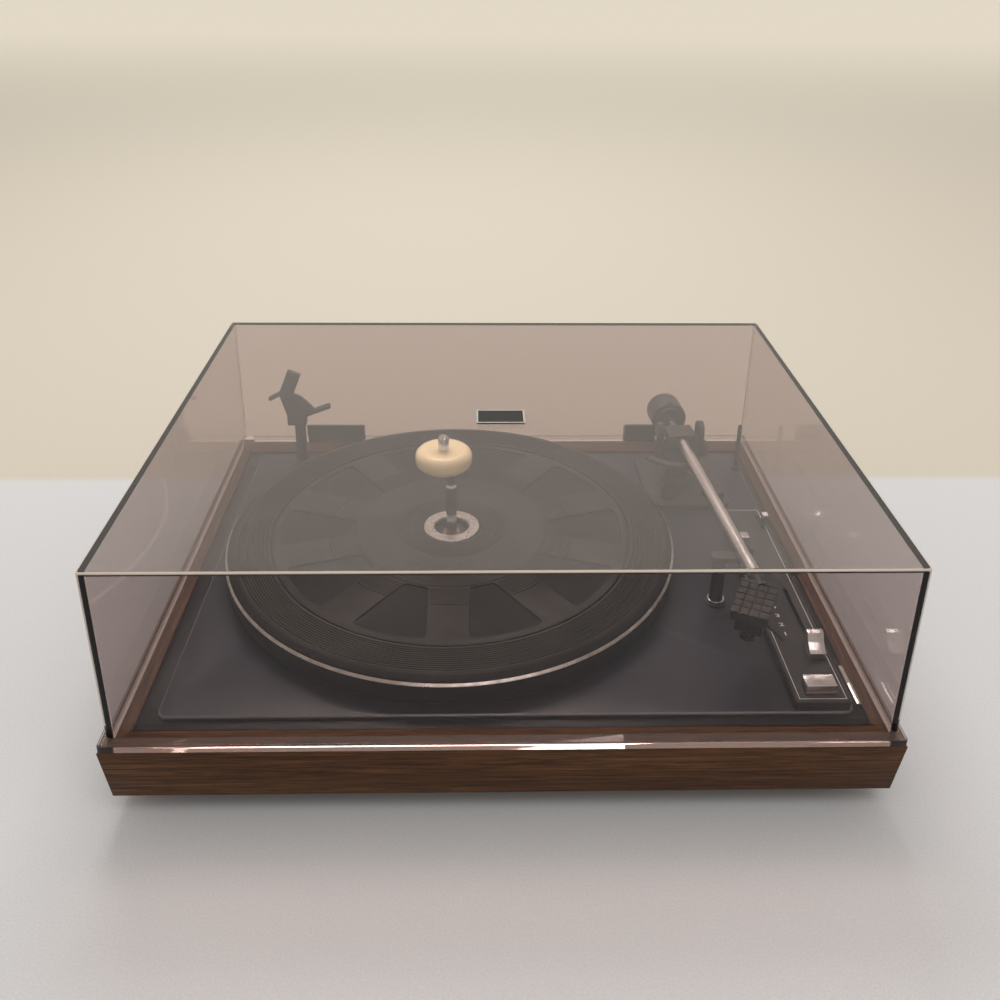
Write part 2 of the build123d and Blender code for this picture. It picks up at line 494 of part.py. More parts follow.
def control_strip():
    """Raised moulding with the programme slider, cycle button, speed and cue levers."""
    strip = rounded(PANEL_LEFT, PANEL_RIGHT, PANEL_FRONT, PANEL_BACK, DECK_TOP, PANEL_TOP, 1.5)
    strip = chamfer(strip.faces().sort_by(Axis.Z)[-1].edges(), 0.7)
    strip -= block(PANEL_LEFT + 2, PANEL_RIGHT - 1.6, PANEL_FRONT + 2, PANEL_BACK - 2,
                   DECK_TOP - 1, PANEL_TOP - PANEL_T)
    slot_mid = KNOB_Y + SLIDE_TRAVEL / 2
    strip -= Pos(SLOT_X, slot_mid, 0) * extrude(SlotOverall(SLIDE_TRAVEL + 11, SLOT_W, rotation=90), 100)
    x0, x1, y0, y1 = BUTTON
    strip -= block(x0 - GAP, x1 + GAP, y0 - GAP, y1 + GAP, DECK_TOP, 100)
    speed_slot = extrude(SlotOverall(SPEED_TRAVEL + 7, SLOT_W, rotation=90), 100)
    strip -= Pos(SPEED_X, SPEED_Y + SPEED_TRAVEL / 2, 0) * speed_slot
    strip -= block(CUE_X - 2.1, CUE_X + 2.1, CUE_Y - 6, CUE_Y + 11, DECK_TOP, 100)
    parts["control_strip"] = strip

    side = [(-6.5, 0), (6.3, 0), (7.0, 11.4), (5.2, 12.6),
            (1.8, 12.2), (-0.4, 7.6), (-4.4, 4.6), (-6.8, 4.2)]
    wedge = Plane.YZ * Polygon(*side, align=None)
    knob = Pos(SLOT_X - KNOB_HALF, KNOB_Y, PANEL_TOP + GAP) * extrude(wedge, 2 * KNOB_HALF)
    blade = block(SLOT_X - BLADE_HALF, SLOT_X + BLADE_HALF, KNOB_Y - 4, KNOB_Y + 4,
                  DECK_TOP + 1.4, PANEL_TOP + GAP)
    blade += block(SLOT_X - 4.5, SLOT_X + 4.5, KNOB_Y - 5, KNOB_Y + 5, DECK_TOP + 0.8, DECK_TOP + 2.4)
    parts["programme_slider"] = knob + blade

    button = block(x0, x1, y0, y1, BUTTON_FOOT, BUTTON_TOP)
    button = chamfer(button.faces().sort_by(Axis.Z)[-1].edges(), 0.5)
    over = Pos((x0 + x1) / 2, (y0 + y1) / 2, BUTTON_TOP + DISH_R - DISH_DEPTH)
    button -= over * Rot(0, 90, 0) * Cylinder(DISH_R, x1 - x0 + 2)
    button += block(x0 - BUTTON_LEDGE, x1 + BUTTON_LEDGE, y0 - BUTTON_LEDGE, y1 + BUTTON_LEDGE,
                    BUTTON_FOOT, BUTTON_FOOT + BUTTON_LEDGE_T)
    parts["cycle_button"] = button
    parts["cycle_button_spring"] = coil((x0 + x1) / 2, (y0 + y1) / 2, DECK_TOP, DECK_TOP + 2.2, 3.0, 0.25, 2)

    lever = rounded(SPEED_X - 3, SPEED_X + 3, SPEED_Y - 3.5, SPEED_Y + 3.5,
                    PANEL_TOP + GAP, PANEL_TOP + 6.5, 1.2)
    lever = fillet(lever.faces().sort_by(Axis.Z)[-1].edges(), 0.8)
    lever += block(SPEED_X - BLADE_HALF, SPEED_X + BLADE_HALF, SPEED_Y - 2.5, SPEED_Y + 2.5,
                   DECK_TOP + 1, PANEL_TOP + 1)
    parts["speed_lever"] = lever

    cue = rod(CUE_X - 1.8, CUE_X + 1.8, CUE_Y, CUE_Z, 2.4)
    leaning = Pos(CUE_X, CUE_Y, CUE_Z) * Rot(CUE_LEAN, 0, 0)
    parts["cue_lever"] = cue + leaning * Pos(0, 0, 5.5) * Box(3.2, 2.6, 11)
    tip = leaning * Pos(0, 0, 12.3) * Box(4.2, 4.0, 2.6)
    parts["cue_lever_tip"] = fillet(tip.edges(), 0.5)


# ---------------------------------------------------------------- tonearm
YOKE_IN, YOKE_OUT = 13.5, 17.5
BASE = (112.0, 174.0, 60.0, 138.0)
ARM_BASE_T, ARM_BASE_CORNER = 4.0, 10.0
LIFT_SLEEVE_R, LIFT_SLEEVE_TOP = 4.5, DECK_TOP + 14
LIFT_RADIUS = 34.0
LIFT_ANGLES = (-142.0, -82.0)
FORCE_Z = 76.0
SKATE_X, SKATE_Y = 163.0, 74.0
COLLAR_LEN = 9.0
PILLAR_TOP, PILLAR_R, YOKE_SHAFT_R = 70.2, 9.2, 3.0
YOKE_DISC_Z, YOKE_DISC_T, YOKE_BOSS_R = 72.25, 3.5, 6.5
PIVOT_HOLE_R, PIVOT_PIN_R = 2.0, 1.0
DIAL_PIN_R = 1.5
FORCE_X, FORCE_R, FORCE_T = 19.6, 6.4, 3.4
SKATE_R, SKATE_T = 8.0, 5.0
ARM_BLOCK = (22.0, 18.0, 12.0)
TUBE_BORE_R = 3.2
WEIGHT_Y, WEIGHT_R, WEIGHT_LEN, WEIGHT_SHAFT_R = 41.0, 13.5, 22.0, 3.0
LIFT_ROD_R, LIFT_T, LIFT_HALF = 2.5, 2.6, 2.6


def arm_frame():
    """The frame of the arm at rest: origin at the gimbal, front towards -Y, and the tube's length."""
    rear_x = STYLUS_X + HEAD_REAR * sin(radians(-HEAD_ANGLE))
    rear_y = STYLUS_Y + HEAD_REAR * cos(radians(HEAD_ANGLE))
    dx, dy = rear_x - PIVOT_X, rear_y - PIVOT_Y
    return Pos(PIVOT_X, PIVOT_Y, ARM_Z) * Rot(0, 0, degrees(atan2(dx, -dy))), hypot(dx, dy)


def tonearm():
    """Base and pillar, swinging yoke, balanced arm, and the dials."""
    x0, x1, y0, y1 = BASE
    lift_x, lift_y = on_circle(PIVOT_X, PIVOT_Y, LIFT_RADIUS, sum(LIFT_ANGLES) / 2)
    base = rounded(x0, x1, y0, y1, DECK_TOP, DECK_TOP + ARM_BASE_T, ARM_BASE_CORNER)
    base = fillet(base.faces().sort_by(Axis.Z)[-1].edges(), 1.0)
    base += disc(lift_x, lift_y, DECK_TOP + 3, LIFT_SLEEVE_TOP, LIFT_SLEEVE_R)
    base -= disc(lift_x, lift_y, DECK_TOP + 1, DECK_TOP + 20, LIFT_ROD_R + FIT)
    base += disc(SKATE_X, SKATE_Y, DECK_TOP + 3, DECK_TOP + 9.2, DIAL_PIN_R)
    parts["arm_base"] = base
    parts["arm_pillar"] = turned([
        (YOKE_SHAFT_R + FIT, DECK_TOP + 6), (YOKE_SHAFT_R + FIT, PILLAR_TOP),
        (PILLAR_R - 1, PILLAR_TOP), (PILLAR_R, PILLAR_TOP - 1), (PILLAR_R, DECK_TOP + 8),
        (13.0, DECK_TOP + 4), (0, DECK_TOP + 4), (0, DECK_TOP + 6),
    ], PIVOT_X, PIVOT_Y)

    frame, reach_len = arm_frame()
    yoke = Pos(0, 0, YOKE_DISC_Z - ARM_Z) * Cylinder(YOKE_OUT, YOKE_DISC_T)
    for side in (-1, 1):
        mid = side * (YOKE_IN + YOKE_OUT) / 2
        yoke += Pos(mid, 0, -3.5) * Box(YOKE_OUT - YOKE_IN, 13, 20)
        yoke += Pos(mid, 0, YOKE_BOSS_R) * Rot(0, 90, 0) * Cylinder(YOKE_BOSS_R, YOKE_OUT - YOKE_IN)
    yoke += Pos(0, 0, 63.5 - ARM_Z) * Cylinder(YOKE_SHAFT_R, 15)
    yoke -= Rot(0, 90, 0) * Cylinder(PIVOT_HOLE_R, 60)
    yoke += Pos(19.4, 0, FORCE_Z - ARM_Z) * Rot(0, 90, 0) * Cylinder(DIAL_PIN_R, 5.0)
    parts["arm_yoke"] = frame * yoke
    screws = []
    for side in (-1, 1):
        screw = Pos(side * 16.3, 0, 0) * Rot(0, 90, 0) * Cylinder(PIVOT_HOLE_R - 0.02, 5.2)
        screw += Pos(side * 11.5, 0, 0) * Rot(0, 90, 0) * Cylinder(PIVOT_PIN_R, 5.4)
        screws.append(frame * screw)
    parts["gimbal_screws"] = group(screws)
    dial = Rot(0, 90, 0) * (Cylinder(FORCE_R, FORCE_T) - Cylinder(DIAL_PIN_R + FIT, 5))
    dial = knurled(dial, FORCE_R, 24, Rot(0, 90, 0))
    parts["force_dial"] = frame * Pos(FORCE_X, 0, FORCE_Z - ARM_Z) * dial
    skate = Cylinder(SKATE_R, SKATE_T) - Cylinder(DIAL_PIN_R + FIT, 8)
    skate = knurled(skate, SKATE_R, 30, Rot(0, 0, 0))
    parts["anti_skate_dial"] = Pos(SKATE_X, SKATE_Y, DECK_TOP + 6.8) * skate

    hub = fillet(Box(*ARM_BLOCK).edges().filter_by(Axis.Y), 1.5)
    hub -= Rot(0, 90, 0) * Cylinder(PIVOT_PIN_R + FIT, 60)
    parts["arm_block"] = frame * hub
    tube_end = reach_len - COLLAR_LEN
    tube_start = ARM_BLOCK[1] / 2
    tube = Cylinder(TUBE_R, tube_end - tube_start) - Cylinder(TUBE_BORE_R, 300)
    parts["arm_tube"] = frame * Pos(0, -(tube_start + tube_end) / 2, 0) * Rot(90, 0, 0) * tube
    shaft = Pos(0, tube_start + 24, 0) * Rot(90, 0, 0) * Cylinder(WEIGHT_SHAFT_R, 48)
    parts["counterweight_shaft"] = frame * shaft
    weight = Rot(90, 0, 0) * Cylinder(WEIGHT_R, WEIGHT_LEN)
    weight = fillet(weight.edges().filter_by(GeomType.CIRCLE), 1.5)
    weight += Pos(0, -12, 0) * Rot(90, 0, 0) * Cylinder(11, 4)
    weight -= Rot(90, 0, 0) * Cylinder(WEIGHT_SHAFT_R + FIT, 60)
    parts["counterweight"] = frame * Pos(0, WEIGHT_Y, 0) * weight

    arc = extrude(arc_plate(LIFT_RADIUS, LIFT_HALF, LIFT_ANGLES), LIFT_T, dir=(0, 0, 1))
    arc = Pos(PIVOT_X, PIVOT_Y, ARM_Z - TUBE_R - 3.2) * arc
    arc += disc(lift_x, lift_y, DECK_TOP + 5, ARM_Z - TUBE_R - 3.0, LIFT_ROD_R)
    parts["cue_lift"] = arc


def arc_plate(radius, half, angles):
    """A flat curved strip round the origin between two angles."""
    a0, a1 = angles
    far = 90
    wedge = Polygon((0, 0), on_circle(0, 0, far, a0), on_circle(0, 0, far, (a0 + a1) / 2),
                    on_circle(0, 0, far, a1), align=None)
    return (Circle(radius + half) - Circle(radius - half)) & wedge


def knurled(body, radius, flutes, turn):
    """Cuts shallow flutes along the rim of a dial whose axis is turned from Z by turn."""
    for number in range(flutes):
        x, y = on_circle(0, 0, radius + 0.25, 360 / flutes * number)
        body -= turn * Pos(x, y, 0) * Cylinder(0.5, 20)
    return body


WAFFLE_COLUMNS, WAFFLE_ROWS = 4, 5
WAFFLE_HALF, WAFFLE_DEPTH = 0.4, 0.8


def head():
    """Headshell with its waffle top and collar, cartridge and stylus."""
    seat = Pos(STYLUS_X, STYLUS_Y, 0) * Rot(0, 0, HEAD_ANGLE)
    z1 = ARM_Z + TUBE_R
    z0 = z1 - HEAD_T
    half = HEAD_W / 2
    shell = block(-half, half, HEAD_FRONT, HEAD_REAR, z0, z1)
    shell = chamfer(shell.edges().filter_by(Axis.Z), 1.2)
    waffle_rear, floor = HEAD_REAR - 3, z1 - WAFFLE_DEPTH
    for number in range(1, WAFFLE_COLUMNS):
        x = -half + HEAD_W * number / WAFFLE_COLUMNS
        shell -= block(x - WAFFLE_HALF, x + WAFFLE_HALF, HEAD_FRONT - 1, waffle_rear, floor, z1 + 1)
    for number in range(1, WAFFLE_ROWS + 1):
        y = HEAD_FRONT + (waffle_rear - HEAD_FRONT) * number / WAFFLE_ROWS
        shell -= block(-half - 1, half + 1, y - WAFFLE_HALF, y + WAFFLE_HALF, floor, z1 + 1)
    lift = Pos(half - 0.6, HEAD_FRONT + 3, z0 + 1.5) * Rot(0, 18, -22) * Pos(6, 0, 0) * Box(14, 4.4, 1.2)
    shell += lift
    frame, reach_len = arm_frame()
    collar = Rot(90, 0, 0) * Cylinder(TUBE_R + 0.9, COLLAR_LEN + 3)
    collar = Pos(0, -reach_len + COLLAR_LEN / 2 - 1.5, 0) * collar
    collar = frame * collar & block(0, 300, -300, 300, z0, z1 + 0.9)
    parts["headshell"] = seat * shell + collar
    body = block(-8, 8, -3.5, 20, z0 - 10.5, z0)
    body = chamfer(body.faces().sort_by(Axis.Z)[0].edges(), 1.4)
    parts["cartridge"] = seat * body
    holder = block(-4.2, 4.2, -5.5, 9, z0 - 12.6, z0 - 10.5)
    holder += block(-2.4, 2.4, -6.2, -3.5, z0 - 12.6, z0 - 8)
    tip = Pos(0, -1.5, z0 - 13.2) * Cone(0.3, 0.8, 1.6)
    parts["stylus"] = seat * (holder + tip)


CLIP_Z = 78.4
REST_POST_R, REST_FOOT_R = 4.2, 6.6


def arm_rest():
    """Post beside the arm with a bright collar and an open clip under the tube."""
    parts["arm_rest_post"] = turned([
        (0, DECK_TOP), (REST_FOOT_R, DECK_TOP), (REST_FOOT_R, DECK_TOP + 1.2),
        (REST_FOOT_R - 1, DECK_TOP + 1.6), (REST_POST_R, DECK_TOP + 1.6), (REST_POST_R, CLIP_Z),
        (0, CLIP_Z),
    ], REST_X, REST_Y)
    parts["arm_rest_collar"] = ring(REST_X, REST_Y, DECK_TOP + 1.6, DECK_TOP + 4.0, 5.5, REST_POST_R)
    frame, _ = arm_frame()
    turn = frame.orientation.Z
    tube_x = PIVOT_X + (PIVOT_Y - REST_Y) * sin(radians(turn)) / cos(radians(turn))
    top = ARM_Z - TUBE_R - GAP
    clip = rounded(REST_X - 5, tube_x + 7.4, REST_Y - REST_POST_R, REST_Y + REST_POST_R, CLIP_Z, top, 2.0)
    clip += rounded(tube_x + 4.6, tube_x + 7.4, REST_Y - REST_POST_R, REST_Y + REST_POST_R,
                    CLIP_Z, top + 7, 1.2)
    parts["arm_rest_clip"] = clip


# ---------------------------------------------------------------- record support and storage peg
SUPPORT_POST_R, SUPPORT_POST_TOP = 4.3, 78.5
SUPPORT_FOOT_R, SUPPORT_FOOT_T = 5.0, 1.5
SUPPORT_PIN_R, SUPPORT_PIN_TOP = 2.0, 84.0
PLATFORM_TOP = 85.0
PEG_X, PEG_Y, PEG_R, PEG_TOP = 191.6, 120.0, 1.9, 87.8


def record_support():
    """Post at the left rear and the swivelling platform that steadies a stack of records."""
    x, y = SUPPORT_X, SUPPORT_Y
    parts["record_support_post"] = turned([
        (0, DECK_TOP), (SUPPORT_FOOT_R, DECK_TOP), (SUPPORT_FOOT_R, DECK_TOP + SUPPORT_FOOT_T),
        (SUPPORT_POST_R, DECK_TOP + SUPPORT_FOOT_T + 0.9),
        (SUPPORT_POST_R, SUPPORT_POST_TOP), (SUPPORT_PIN_R, SUPPORT_POST_TOP),
        (SUPPORT_PIN_R, SUPPORT_PIN_TOP), (0, SUPPORT_PIN_TOP),
    ], x, y)
    plate_z = PLATFORM_TOP
    platform = rounded(x - 9.2, x + 5.6, y - 5, y + 5, SUPPORT_POST_TOP + GAP, plate_z, 1.5)
    platform -= disc(x, y, 70, SUPPORT_PIN_TOP + GAP, SUPPORT_PIN_R + FIT)
    web = [(-9.0, 0), (5.6, 0), (12.6, 7.0), (2.4, 17.8), (-3.6, 20.6), (-15.2, 21.2), (-12.6, 13.0)]
    platform += Pos(x, y + 1.5, plate_z - 1) * extrude(Plane.XZ * Polygon(*web, align=None), 3.0)
    arm = Pos(x + 13.4, y - 2.2, plate_z + 5.6) * Rot(0, -19, 6) * Box(24.5, 6.0, 2.6)
    platform += arm
    spur = Pos(x - 18.4, y, plate_z + 17.2) * Rot(0, -28, 0) * Box(9.5, 5.0, 2.4)
    platform += spur
    blade = Pos(x - 5.8, y, plate_z + 27.6) * Rot(0, 22, 0) * Box(10.6, 4.0, 22)
    platform += blade
    parts["record_support_platform"] = platform
    parts["storage_peg"] = turned([
        (0, DECK_TOP), (PEG_R + 1.5, DECK_TOP), (PEG_R + 1.5, DECK_TOP + 2), (PEG_R, DECK_TOP + 4),
        (PEG_R - 0.3, PEG_TOP - 2.8), (PEG_R - 0.2, PEG_TOP - 1.6), (PEG_R - 0.7, PEG_TOP - 0.4),
        (0, PEG_TOP),
    ], PEG_X, PEG_Y)


# ---------------------------------------------------------------- dust cover and hinges
LEAF_T, LEAF_TOP = 2.8, 60.5
HINGE_PIN_R = 1.5
KNUCKLE = 11.0               # length of each outer knuckle
BASE_Z0, BASE_Z1 = 27.0, 46.5
BASE_Y, KNUCKLE_Z0 = PLINTH_BACK + 2.4, 42.0
BADGE_HALF, BADGE_T = 15.6, 0.8


def dust_cover():
    """Smoked cover with its flange, cable notches, badge and hinge halves."""
    half_w = COVER_W / 2
    y0, y1 = COVER_Y - COVER_D / 2, COVER_Y + COVER_D / 2
    shell = rounded(-half_w, half_w, y0, y1, FLANGE_Z0, COVER_TOP, 2.5)
    shell = fillet(shell.faces().sort_by(Axis.Z)[-1].edges(), 1.4)
    lip = rounded(-FLANGE_W / 2, FLANGE_W / 2, -FLANGE_D / 2, FLANGE_D / 2, FLANGE_Z0, FLANGE_Z1, 2.5)
    lip = fillet(lip.faces().sort_by(Axis.Z)[-1].edges(), 1.2)
    shell += lip
    shell -= rounded(-half_w + COVER_T, half_w - COVER_T, y0 + COVER_T, y1 - COVER_T, FLANGE_Z0 - 1,
                     COVER_TOP - COVER_T, 1.0)
    for side in (-1, 1):
        notch = [(side * 200.6, FLANGE_Z0 - 1), (side * 202.0, FLANGE_Z1), (side * 208.4, FLANGE_Z1),
                 (side * 210.4, FLANGE_Z0 - 1)]
        cut = extrude(Plane.XZ * Polygon(*notch, align=None), 20)
        shell -= Pos(0, PLINTH_BACK + 5, 0) * cut
    parts["dust_cover"] = shell
    parts["cover_badge"] = rounded(-BADGE_HALF, BADGE_HALF, COVER_Y - 10.0, COVER_Y + 8.6,
                                   COVER_TOP, COVER_TOP + BADGE_T, 0.6)
    leaves, bases, pins = [], [], []
    wall = COVER_Y + COVER_D / 2
    for side in (-1, 1):
        x0, x1 = side * HINGE_X - HINGE_W / 2, side * HINGE_X + HINGE_W / 2
        a, b = x0 + KNUCKLE, x1 - KNUCKLE
        leaf = block(x0, x1, wall, wall + LEAF_T, FLANGE_Z1 + 0.4, LEAF_TOP)
        leaf += rod(a + GAP, b - GAP, HINGE_Y, HINGE_Z, HINGE_R)
        leaf += block(a + GAP, b - GAP, wall + 1, HINGE_Y, HINGE_Z - 1.2, HINGE_Z + HINGE_R)
        leaf -= rod(x0 - 1, x1 + 1, HINGE_Y, HINGE_Z, HINGE_PIN_R + FIT)
        leaves.append(leaf)
        base = block(x0, x1, PLINTH_BACK, PLINTH_BACK + HINGE_PLATE_T, BASE_Z0, BASE_Z1)
        base += block(a, b, BASE_Y, HINGE_Y + HINGE_R, KNUCKLE_Z0, HINGE_Z - HINGE_R - 2 * GAP)
        for k0, k1 in ((x0, a), (b, x1)):
            base += rod(k0, k1, HINGE_Y, HINGE_Z, HINGE_R)
            base += block(k0, k1, BASE_Y, HINGE_Y + HINGE_R, KNUCKLE_Z0, HINGE_Z)
        base -= rod(x0 - 1, x1 + 1, HINGE_Y, HINGE_Z, HINGE_PIN_R + FIT)
        for screw in HINGE_SCREWS:
            base -= screw
        bases.append(base)
        pins.append(rod(x0, x1, HINGE_Y, HINGE_Z, HINGE_PIN_R))
    parts["hinge_leaves"] = group(leaves)
    parts["hinge_bases"] = group(bases)
    parts["hinge_pins"] = group(pins)
    parts["hinge_screws"] = group(HINGE_SCREWS)
    glands = []
    for x, radius in GLANDS:
        gland = rod_y(x, PLINTH_BACK - 3, PLINTH_BACK, GLAND_Z, radius)
        gland += rod_y(x, PLINTH_BACK, PLINTH_BACK + 2.6, GLAND_Z, radius + 2.4)
        glands.append(gland - rod_y(x, PLINTH_BACK - 9, PLINTH_BACK + 4, GLAND_Z, radius - 2.2))
    parts["cable_glands"] = group(glands)


def save():
    """Writes each node as its own STEP file, shifted so the origin is under the object's centre."""
    os.makedirs("parts", exist_ok=True)
    for name, shape in parts.items():
        export_step(Pos(0, ROW_SHIFT, 0) * shape, "parts/" + name + ".step")


plinth_boards()
underside()
deck()
platter()
bearing()
spindles()
drive()
control_strip()
tonearm()
head()
arm_rest()
record_support()
dust_cover()
save()
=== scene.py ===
"""Looks of the automatic record player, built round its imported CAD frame. Metres, +Z up."""

import json
from math import asin, atan2, cos, pi, radians, sin, sqrt

import bmesh
import bpy
from mathutils import Matrix, Vector


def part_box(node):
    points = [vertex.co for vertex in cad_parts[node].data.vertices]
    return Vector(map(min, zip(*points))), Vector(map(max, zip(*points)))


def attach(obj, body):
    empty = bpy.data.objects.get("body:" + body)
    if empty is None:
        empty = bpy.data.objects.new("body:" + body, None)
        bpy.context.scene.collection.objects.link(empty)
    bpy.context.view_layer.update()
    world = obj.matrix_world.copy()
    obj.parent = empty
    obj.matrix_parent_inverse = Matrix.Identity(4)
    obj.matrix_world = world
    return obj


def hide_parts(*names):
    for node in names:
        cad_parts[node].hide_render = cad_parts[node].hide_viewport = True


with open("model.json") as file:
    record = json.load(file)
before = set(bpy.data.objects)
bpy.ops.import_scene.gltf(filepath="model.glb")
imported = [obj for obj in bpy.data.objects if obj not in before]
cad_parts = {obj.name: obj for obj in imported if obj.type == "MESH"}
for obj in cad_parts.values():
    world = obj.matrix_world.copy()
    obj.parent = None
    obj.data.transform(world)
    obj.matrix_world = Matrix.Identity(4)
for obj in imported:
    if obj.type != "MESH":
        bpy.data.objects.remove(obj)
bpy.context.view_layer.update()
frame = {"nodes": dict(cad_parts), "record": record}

MM = 0.001
RECORD = frame["record"]
BODY_OF = {node: body for body, nodes in RECORD["behaviour"]["bodies"].items() for node in nodes}
SLOT_OF = {row["node"]: row["material_slot"] for row in RECORD["subparts"]}
SEGMENTS = 360               # facets round every turned piece
SMOOTH_ANGLE = radians(34)   # sharper edges than this stay crisp


# ---------------------------------------------------------------- camera, light and floor
CAMERA_AT = (-0.0156, -0.5810, 0.4433)
CAMERA_YAW, CAMERA_PITCH, CAMERA_ROLL = radians(1.47), radians(23.21), radians(0.61)
FOCAL_SHARE = 0.998          # focal length as a share of the sensor's width
SENSOR = 36.0
FRAME_SHIFT = -0.14          # the lens is shifted by this share of the sensor's width
CLIP_START = 0.01

SURROUNDINGS, SURROUNDINGS_STRENGTH = (0.80, 0.74, 0.66, 1), 1.10
# name, place, target, size, watts, colour, and whether glossy surfaces mirror it
LAMPS = (
    ("softbox", (-0.15, 1.05, 1.7), (0, 0, 0), (1.1, 0.6), 28, (1.0, 0.965, 0.92), False),
    ("fill", (0.35, -0.95, 1.75), (0, 0, 0.05), (1.2, 0.7), 8, (0.97, 0.98, 1.0), True),
)
FLOOR_HALF = 12.0
FLOOR_TONE, FLOOR_ROUGH = (0.445, 0.455, 0.480), 0.62
WALL_NEAR, WALL_FAR = (0.43, 0.400, 0.350), (0.86, 0.835, 0.75)
WALL_EDGE = (0.180, 0.194)   # where along Y the cool floor turns to the warm ground behind
WALL_FADE = (0.6, 4.5)       # where along Y that ground grows paler, painted light that makes up for the lamps' falloff far off


def make_camera():
    """The camera at the height, tilt and distance that give the photographed outline."""
    level = cos(CAMERA_PITCH)
    ahead = Vector((sin(CAMERA_YAW) * level, cos(CAMERA_YAW) * level, -sin(CAMERA_PITCH)))
    side = Vector((cos(CAMERA_YAW), -sin(CAMERA_YAW), 0))
    top = side.cross(ahead)
    right = side * cos(CAMERA_ROLL) + top * sin(CAMERA_ROLL)
    up = top * cos(CAMERA_ROLL) - side * sin(CAMERA_ROLL)
    turn = Matrix((right, up, -ahead)).transposed().to_4x4()
    data = bpy.data.cameras.new("camera")
    data.sensor_width = SENSOR
    data.lens = SENSOR * FOCAL_SHARE
    data.shift_y = FRAME_SHIFT
    data.clip_start = CLIP_START
    camera = bpy.data.objects.new("camera", data)
    camera.matrix_world = Matrix.Translation(CAMERA_AT) @ turn
    bpy.context.scene.collection.objects.link(camera)
    bpy.context.scene.camera = camera


def make_lamp(name, place, target, size, power, colour, mirrored):
    """A soft rectangular lamp that faces a target. Direct reflections show it only if it is mirrored."""
    data = bpy.data.lights.new(name, "AREA")
    data.shape = "RECTANGLE"
    data.size, data.size_y = size
    data.energy = power
    data.color = colour
    lamp = bpy.data.objects.new(name, data)
    lamp.location = place
    lamp.visible_glossy = mirrored
    lamp.rotation_euler = (Vector(target) - Vector(place)).to_track_quat("-Z", "Y").to_euler()
    bpy.context.scene.collection.objects.link(lamp)


def make_room():
    """Soft warm surroundings, a lamp high behind the object, a weaker one in front, and a pale floor."""
    world = bpy.data.worlds.new("surroundings")
    world.use_nodes = True
    background = world.node_tree.nodes["Background"]
    background.inputs["Color"].default_value = SURROUNDINGS
    background.inputs["Strength"].default_value = SURROUNDINGS_STRENGTH
    bpy.context.scene.world = world
    bpy.context.scene.view_settings.view_transform = "Standard"
    for lamp in LAMPS:
        make_lamp(*lamp)

    mesh = bpy.data.meshes.new("floor")
    corners = [(x * FLOOR_HALF, y * FLOOR_HALF, 0) for x, y in ((-1, -1), (1, -1), (1, 1), (-1, 1))]
    mesh.from_pydata(corners, [], [(0, 1, 2, 3)])
    floor = bpy.data.objects.new("floor", mesh)
    bpy.context.scene.collection.objects.link(floor)
    mesh.materials.append(floor_material())


# ---------------------------------------------------------------- material helpers
class Nodes:
    """A material's node tree with a Principled shader, and short calls that add nodes to it."""

    def __init__(self, name):
        self.material = bpy.data.materials.new(name)
        self.material.use_nodes = True
        self.tree = self.material.node_tree
        self.shader = self.tree.nodes["Principled BSDF"]
        self.place = self.add("ShaderNodeTexCoord").outputs["Object"]

    def add(self, kind, **settings):
        node = self.tree.nodes.new(kind)
        for key, value in settings.items():
            setattr(node, key, value)
        return node

    def link(self, source, target):
        self.tree.links.new(source, target)

    def set(self, **values):
        """Sets the shader's own sockets; an underscore in a name stands for a space."""
        for key, value in values.items():
            self.shader.inputs[key.replace("_", " ")].default_value = value

    def noise(self, size, detail=4.0, roughness=0.55, offset=0.0):
        """Noise from 0 to 1 whose features are size metres across, along each axis."""
        size = (size, size, size) if isinstance(size, (int, float)) else size
        mapping = self.add("ShaderNodeMapping")
        mapping.inputs["Location"].default_value = (offset, offset, offset)
        mapping.inputs["Scale"].default_value = tuple(1 / s for s in size)
        self.link(self.place, mapping.inputs["Vector"])
        node = self.add("ShaderNodeTexNoise")
        node.inputs["Scale"].default_value = 1.0
        node.inputs["Detail"].default_value = detail
        node.inputs["Roughness"].default_value = roughness
        self.link(mapping.outputs["Vector"], node.inputs["Vector"])
        return node.outputs["Fac"]

    def ramp(self, source, *stops):
        """Colours (r, g, b) or greys at places along a value."""
        node = self.add("ShaderNodeValToRGB")
        elements = node.color_ramp.elements
        while len(elements) < len(stops):
            elements.new(0.5)
        for element, (place, colour) in zip(elements, stops):
            element.position = place
            grey = isinstance(colour, (int, float))
            element.color = (colour, colour, colour, 1) if grey else (*colour, 1)
        self.link(source, node.inputs["Fac"])
        return node.outputs["Color"]

    def blend(self, share, first, second, mode="MIX"):
        """Two colours or colour outputs mixed by a share or an output."""
        node = self.add("ShaderNodeMix", data_type="RGBA", blend_type=mode)
        sockets = node.inputs["Factor"], node.inputs[6], node.inputs[7]
        for socket, value in zip(sockets, (share, first, second)):
            if isinstance(value, bpy.types.NodeSocket):
                self.link(value, socket)
            elif isinstance(value, (int, float)):
                socket.default_value = value
            else:
                socket.default_value = (*value, 1)
        return node.outputs[2]

    def colour(self, source):
        self.link(source, self.shader.inputs["Base Color"])

    def roughness(self, source):
        self.link(source, self.shader.inputs["Roughness"])

    def bump(self, source, height, strength=1.0):
        """Surface relief of a real height in metres."""
        node = self.add("ShaderNodeBump")
        node.inputs["Strength"].default_value = strength
        node.inputs["Distance"].default_value = height
        self.link(source, node.inputs["Height"])
        if self.shader.inputs["Normal"].is_linked:
            self.link(self.shader.inputs["Normal"].links[0].from_socket, node.inputs["Normal"])
        self.link(node.outputs["Normal"], self.shader.inputs["Normal"])


